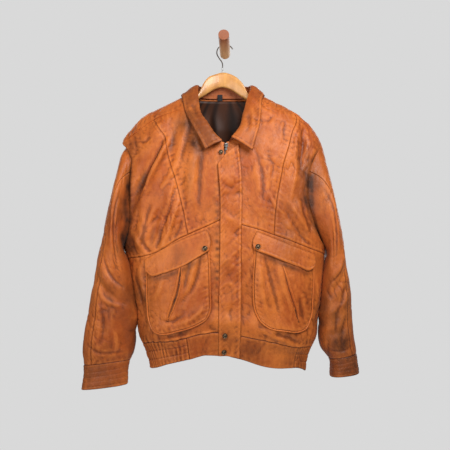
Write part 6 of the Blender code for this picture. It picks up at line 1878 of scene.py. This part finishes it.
class JACKET_OT_zip(Operator):
    """The zip: woven tape with two rows of teeth, and the steel slider and pull"""
    bl_idname = "jacket.zip"
    bl_label = "Zip"

    def execute(self, context):
        low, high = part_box("zip_tape")
        z = np.linspace(high.z, low.z, 130)[:, None]
        x = np.linspace(low.x, high.x, 9)[None] + 0 * z
        z = z + 0 * x
        a = front_angle(x, z)
        out = outward(folded_skin, a, z)
        cloth = Cloth(folded_skin(a, z), out)
        cloth.lift -= TAPE_DEPTH
        shell(cloth, "zip_tape_woven", TAPE_WALL, tape_material(), "zip_tape")
        self.teeth(high.z, low.z)
        for node, body in (("zip_slider", BODY), ("zip_pull", PULL_BODY)):
            self.cast(node, body)
        return {"FINISHED"}

    def cast(self, node, body):
        """A cast part on the form of its solid, with its edges eased."""
        solid = frame["nodes"][node]
        mesh = solid.data.copy()
        mesh.transform(solid.matrix_world)
        part = bpy.data.objects.new(f"steel_{node}", mesh)
        bpy.context.scene.collection.objects.link(part)
        select_none()
        part.select_set(True)
        bpy.context.view_layer.objects.active = part
        bevel = part.modifiers.new("eased edges", "BEVEL")
        bevel.width, bevel.segments, bevel.limit_method = 0.00012, 2, "ANGLE"
        made = took_place(part, f"steel_{node}")
        placed(made.name, made, steel(), node, body, smooth=False)

    def teeth(self, top, bottom):
        """Interlocked teeth: one is modelled, then repeated down the tape."""
        select_none()
        bpy.ops.mesh.primitive_cube_add(size=1)
        tooth = bpy.context.active_object
        tooth.scale = TOOTH_SIZE
        bevel = tooth.modifiers.new("eased edges", "BEVEL")
        bevel.width, bevel.segments = 0.0003, 1
        shape = took_place(tooth, "tooth")
        corners = np.array([v.co for v in shape.vertices])
        faces = [tuple(p.vertices) for p in shape.polygons]
        points, made = [], []
        for k, z in enumerate(np.arange(top - TEETH_START, bottom, -TOOTH_PITCH / 2)):
            x = TOOTH_ASIDE * (-1) ** k
            a = front_angle(np.array(x), np.array(z))
            out = outward(folded_skin, a, np.array(z))
            place = folded_skin(a, np.array(z)) - out * TOOTH_DEPTH
            start = len(points)
            points += (corners + place).tolist()
            made += [tuple(start + i for i in face) for face in faces]
        mesh = bpy.data.meshes.new("zip_teeth")
        mesh.from_pydata(points, [], made)
        placed(mesh.name, mesh, steel(), None, smooth=False)


class JACKET_OT_loop_tab(Operator):
    """The small black loop of woven tape at the back of the neck"""
    bl_idname = "jacket.loop_tab"
    bl_label = "Loop tab"

    def execute(self, context):
        low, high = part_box("loop_tab")
        select_none()
        bpy.ops.mesh.primitive_cube_add(size=1, location=(low + high) / 2)
        tab = bpy.context.active_object
        tab.scale = ((high - low).x, (high - low).y * 0.8, (high - low).z)
        bevel = tab.modifiers.new("soft edges", "BEVEL")
        bevel.width, bevel.segments = 0.0005, 3
        bpy.ops.object.mode_set(mode="EDIT")
        bpy.ops.mesh.subdivide(number_cuts=6)
        bpy.ops.object.mode_set(mode="OBJECT")
        mesh = took_place(tab, "tape_loop_tab")
        places = np.array([v.co for v in mesh.vertices])
        places[:, 1] += 0.0006 * np.cos((places[:, 2] - low.z) / (high.z - low.z) * 2 * math.pi)
        mesh.vertices.foreach_set("co", places.astype(np.float32).ravel())
        placed(mesh.name, mesh, tape_material(), "loop_tab")
        return {"FINISHED"}


HANGER_HEAD_TOP = [(-0.076, -0.1205), (-0.070, -0.1160), (-0.065, -0.1095), (-0.0605, -0.1000),
                   (-0.0565, -0.0905), (-0.044, -0.0715), (-0.025, -0.0616), (-0.006, -0.0566),
                   (0.0125, -0.0603), (0.0365, -0.0765), (0.047, -0.0905), (0.0525, -0.1025),
                   (0.058, -0.1125), (0.066, -0.1195)]
HANGER_UNDERSIDE = [(-0.218, -0.1980), (-0.066, -0.1245), (-0.006, -0.0938), (0.052, -0.1255),
                    (0.208, -0.2020)]
HANGER_ENDS = (-0.218, 0.208)
HANGER_ARM_HEIGHT, HANGER_HALF_THICKNESS = 0.016, 0.0070
HANGER_CLEAR = Track((-0.218, 0.0068), (-0.190, 0.0062), (-0.160, 0.0050), (-0.130, 0.0050),
                     (-0.100, 0.0064), (-0.086, 0.0068), (0.076, 0.0068), (0.095, 0.0064),
                     (0.120, 0.0050), (0.150, 0.0050), (0.180, 0.0062), (0.208, 0.0068))
HANGER_MIDDLE = Track((-0.24, -0.080), (-0.15, -0.079), (-0.10, -0.071), (-0.06, -0.056),
                      (-0.006, -0.046), (0.05, -0.056), (0.09, -0.071), (0.14, -0.079),
                      (0.24, -0.080))
HANGER_STATIONS, HANGER_SIDES = 120, 28
HOOK_SEAT = Vector((-0.0063, -0.0455, -0.0575))
HOOK_CENTRE = (0.0003, -0.0022)
HOOK_RADIUS, HOOK_WIRE, HOOK_NECK = 0.0209, 0.0015, -0.046
HOOK_TOP_Y = -0.0200


def ridge_height(x):
    """The height of the shoulder's ridge at x."""
    heights = np.linspace(-0.238, -0.100, 140)
    return float(np.interp(abs(x), HALF_WIDTH["left" if x < 0 else "right"](heights)[::-1],
                           heights[::-1]))


class JACKET_OT_hanger(Operator):
    """The contoured wooden hanger and its wire hook"""
    bl_idname = "jacket.hanger"
    bl_label = "Hanger"

    def execute(self, context):
        stations = list(HANGER_HEAD_TOP)
        for x in HANGER_CLEAR.t:
            stations.append((x, ridge_height(x) - float(HANGER_CLEAR(x))))
        top, under = Track(*stations), Track(*HANGER_UNDERSIDE)
        low, high = HANGER_ENDS
        share = np.linspace(0, 1, HANGER_STATIONS)
        xs = low + (high - low) * (share - 0.10 * np.sin(2 * math.pi * share) / (2 * math.pi))
        upper = top(xs)
        in_head = (xs > HANGER_HEAD_TOP[0][0]) & (xs < HANGER_HEAD_TOP[-1][0])
        lower = np.where(in_head, under(xs), np.minimum(under(xs), upper - HANGER_ARM_HEIGHT))
        round_off = np.sqrt(np.minimum(1.0, 0.15 + np.minimum(xs - low, high - xs) / 0.012))
        turn = 2 * math.pi * (np.arange(HANGER_SIDES) + 0.5) / HANGER_SIDES
        y = (HANGER_MIDDLE(xs)[:, None]
             + HANGER_HALF_THICKNESS * round_off[:, None] * power(np.cos(turn), 0.55)[None])
        z = ((upper + lower) / 2)[:, None] + ((upper - lower) / 2 * round_off)[:, None] * power(
            np.sin(turn), 0.7)[None]
        points = np.stack([xs[:, None] + 0 * y, y, z], axis=-1)
        mesh = bpy.data.meshes.new("wood_hanger")
        count = len(xs) * HANGER_SIDES
        faces = [*grid_faces(*points.shape[:2], True).tolist(), tuple(range(HANGER_SIDES)),
                 tuple(range(count - HANGER_SIDES, count))]
        mesh.from_pydata(points.reshape(-1, 3).tolist(), [], faces)
        outward_faces(mesh)
        c = colours()
        wood = wood_material("light varnished wood", tuple(c.hanger), tuple(c.hanger_grain),
                             (0.7, 0.7, 0.12), 0.26)
        wood.node_tree.nodes["Principled BSDF"].inputs["Coat Weight"].default_value = 0.35
        placed(mesh.name, mesh, wood, "hanger")
        self.hook()
        return {"FINISHED"}

    def hook(self):
        turns = np.radians(np.linspace(207, 26, 60))
        loop = np.stack([HOOK_CENTRE[0] + HOOK_RADIUS * np.cos(turns),
                         HOOK_CENTRE[1] + HOOK_RADIUS * np.sin(turns)], axis=1)
        foot = path((HOOK_SEAT.x, HOOK_SEAT.z - 0.012), (HOOK_SEAT.x, HOOK_NECK),
                    (HOOK_SEAT.x, -0.034), (-0.0085, -0.0275), (-0.0135, -0.0205),
                    tuple(loop[0]))(np.linspace(0, 1, 40))
        route = smoothed(np.concatenate([foot[:-1], loop]), 2)
        top = HOOK_CENTRE[1] + HOOK_RADIUS
        lean = np.minimum(1.0, (top - route[:, 1]) / (top - HOOK_NECK))
        points = np.stack([route[:, 0], HOOK_TOP_Y + (HOOK_SEAT.y - HOOK_TOP_Y) * lean,
                           route[:, 1]], axis=1)
        mesh = tube_mesh("wire_hanger_hook", points, HOOK_WIRE, 14)
        placed(mesh.name, mesh, steel(), "hanger_hook")


PEG_RADIUS, PEG_LENGTH = 0.0130, 0.1200
PEG_PAST = 0.01                   # cut off behind the wall, so that the end is flat
PEG_TILT, PEG_LEAN = math.radians(10), math.radians(1.5)


class JACKET_OT_peg(Operator):
    """The turned wooden peg, its tip rounded and its wall end cut flat"""
    bl_idname = "jacket.peg"
    bl_label = "Wall peg"

    def execute(self, context):
        reach = PEG_LENGTH + PEG_PAST
        thing = cylinder(PEG_RADIUS, reach, 72, (0, 0, reach / 2))
        bpy.ops.object.transform_apply(location=True)
        bpy.ops.object.mode_set(mode="EDIT")
        bpy.ops.mesh.select_mode(type="FACE")
        select_faces(thing, lambda c, n: n.z > 0.9)
        bpy.ops.mesh.inset(thickness=0.0002)
        bpy.ops.object.mode_set(mode="OBJECT")
        bevel = thing.modifiers.new("turned tip", "BEVEL")
        bevel.width, bevel.segments, bevel.limit_method = 0.0036, 8, "ANGLE"
        mesh = took_place(thing, "wood_wall_peg")
        way = Vector((-math.sin(PEG_LEAN), -math.cos(PEG_TILT), math.sin(PEG_TILT))).normalized()
        turn = way.to_track_quat("Z", "Y").to_matrix().to_4x4()
        mesh.transform(Matrix.Translation(-way * PEG_PAST) @ turn)
        work = bmesh.new()
        work.from_mesh(mesh)
        bmesh.ops.bisect_plane(work, geom=work.verts[:] + work.edges[:] + work.faces[:],
                               plane_co=(0, 0, 0), plane_no=(0, 1, 0), clear_outer=True, dist=1e-6)
        bmesh.ops.contextual_create(work, geom=[e for e in work.edges if e.is_boundary])
        bmesh.ops.recalc_face_normals(work, faces=work.faces)
        work.to_mesh(mesh)
        work.free()
        along = np.array([v.co.dot(way) for v in mesh.vertices])
        write_attribute(mesh, "end_grain", np.clip((along - PEG_LENGTH + 0.004) / 0.003, 0, 1))
        c = colours()
        wood = wood_material("reddish oiled wood", tuple(c.peg), tuple(0.72 * v for v in c.peg),
                             (1.0, 0.12, 1.0), 0.42, tuple(c.peg_tip))
        mesh.set_sharp_from_angle(angle=math.radians(50))
        placed(mesh.name, mesh, wood, "wall_peg")
        return {"FINISHED"}


CAMERA_PLACE = (0.0, -2.0, -0.4357)
CAMERA_PIXELS, PHOTO_WIDTH = 785.0, 450.0
FLOOR_HEIGHT = -1.70
SENSOR_WIDTH = 36.0
LIGHTS_AIM = Vector((0, -0.08, -0.45))
PEG_LIGHT_PLACE, PEG_LIGHT_AIM = Vector((0.25, -0.80, -0.75)), Vector((0.004, -0.06, 0.012))


def aimed(place, aim):
    return (place - aim).to_track_quat("Z", "Y").to_euler()


class JACKET_OT_stage(Operator):
    """Camera as the photograph was taken, plain grey backdrop, soft lights and a pale floor"""
    bl_idname = "jacket.stage"
    bl_label = "Stage"

    def execute(self, context):
        stage = context.scene.jacket_stage
        select_none()
        bpy.ops.object.camera_add(location=CAMERA_PLACE, rotation=(math.pi / 2, 0, 0))
        camera = context.active_object
        camera.name = "camera"
        camera.data.sensor_width = SENSOR_WIDTH
        camera.data.lens = SENSOR_WIDTH * CAMERA_PIXELS / PHOTO_WIDTH
        context.scene.camera = camera
        world = bpy.data.worlds.new("plain backdrop")
        context.scene.world = world
        world.use_nodes = True
        tree = world.node_tree
        backdrop = tree.nodes["Background"]
        backdrop.inputs["Color"].default_value = (*stage.backdrop, 1)
        room = tree.nodes.new("ShaderNodeBackground")
        room.inputs["Color"].default_value = (*stage.backdrop, 1)
        room.inputs["Strength"].default_value = stage.room
        seen = tree.nodes.new("ShaderNodeLightPath")
        either = tree.nodes.new("ShaderNodeMixShader")
        tree.links.new(seen.outputs["Is Camera Ray"], either.inputs["Fac"])
        tree.links.new(room.outputs["Background"], either.inputs[1])
        tree.links.new(backdrop.outputs["Background"], either.inputs[2])
        tree.links.new(either.outputs["Shader"], tree.nodes["World Output"].inputs["Surface"])
        context.scene.view_settings.view_transform = "Standard"
        for name, place, strength, size in (
                ("key light", (0.62, -1.50, 0.60), stage.key, 1.00),
                ("fill light", (-1.1, -1.7, -0.3), stage.fill, 1.3),
                ("back light left", (-0.9, 2.1, 0.5), stage.back, 1.6),
                ("back light right", (0.9, 2.1, 0.3), stage.back, 1.6)):
            bpy.ops.object.light_add(type="AREA", location=place)
            light = context.active_object
            light.name = name
            light.data.energy = strength
            light.data.size = size
            light.rotation_euler = aimed(Vector(place), LIGHTS_AIM)
        bpy.ops.object.light_add(type="SPOT", location=PEG_LIGHT_PLACE)
        spot = context.active_object
        spot.name = "peg light"
        spot.data.energy = stage.peg
        spot.data.spot_size = math.radians(9)
        spot.data.spot_blend = 0.6
        spot.data.shadow_soft_size = 0.05
        spot.rotation_euler = aimed(PEG_LIGHT_PLACE, PEG_LIGHT_AIM)
        select_none()
        bpy.ops.mesh.primitive_circle_add(vertices=96, radius=1.15, fill_type="NGON",
                                          location=(0, -0.15, FLOOR_HEIGHT))
        floor = context.active_object
        floor.name = "floor"
        n = Nodes("pale floor")
        n.link(n.mixed(n.noise(3.0), (0.70, 0.70, 0.69), (0.66, 0.66, 0.65)),
               n.shader.inputs["Base Color"])
        n.shader.inputs["Roughness"].default_value = 0.85
        floor.data.materials.append(n.material)
        return {"FINISHED"}


STEPS = (JACKET_OT_fronts, JACKET_OT_back, JACKET_OT_sleeves, JACKET_OT_cuffs, JACKET_OT_waistband,
         JACKET_OT_pockets, JACKET_OT_pocket_flaps, JACKET_OT_storm_flap, JACKET_OT_collar,
         JACKET_OT_lining, JACKET_OT_stitching, JACKET_OT_studs, JACKET_OT_zip,
         JACKET_OT_loop_tab, JACKET_OT_hanger, JACKET_OT_peg, JACKET_OT_stage)


class JACKET_PT_panel(Panel):
    """Lists the steps that build the jacket"""
    bl_idname = "JACKET_PT_panel"
    bl_label = "Worn leather jacket"
    bl_space_type = "VIEW_3D"
    bl_region_type = "UI"
    bl_category = "Jacket"

    def draw(self, context):
        for group in (context.scene.jacket_sizes, context.scene.jacket_colours,
                      context.scene.jacket_stage):
            for name in group.__annotations__:
                self.layout.prop(group, name)
        for step in STEPS:
            self.layout.operator(step.bl_idname)


CLASSES = (JacketSizes, JacketColours, JacketStage, *STEPS, JACKET_PT_panel)


def register():
    for each in CLASSES:
        bpy.utils.register_class(each)
    bpy.types.Scene.jacket_sizes = PointerProperty(type=JacketSizes)
    bpy.types.Scene.jacket_colours = PointerProperty(type=JacketColours)
    bpy.types.Scene.jacket_stage = PointerProperty(type=JacketStage)


def unregister():
    del bpy.types.Scene.jacket_sizes
    del bpy.types.Scene.jacket_colours
    del bpy.types.Scene.jacket_stage
    for each in reversed(CLASSES):
        bpy.utils.unregister_class(each)


def main():
    register()
    for step in STEPS:
        group, name = step.bl_idname.split(".")
        getattr(getattr(bpy.ops, group), name)()
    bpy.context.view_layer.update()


if __name__ == "__main__":
    main()
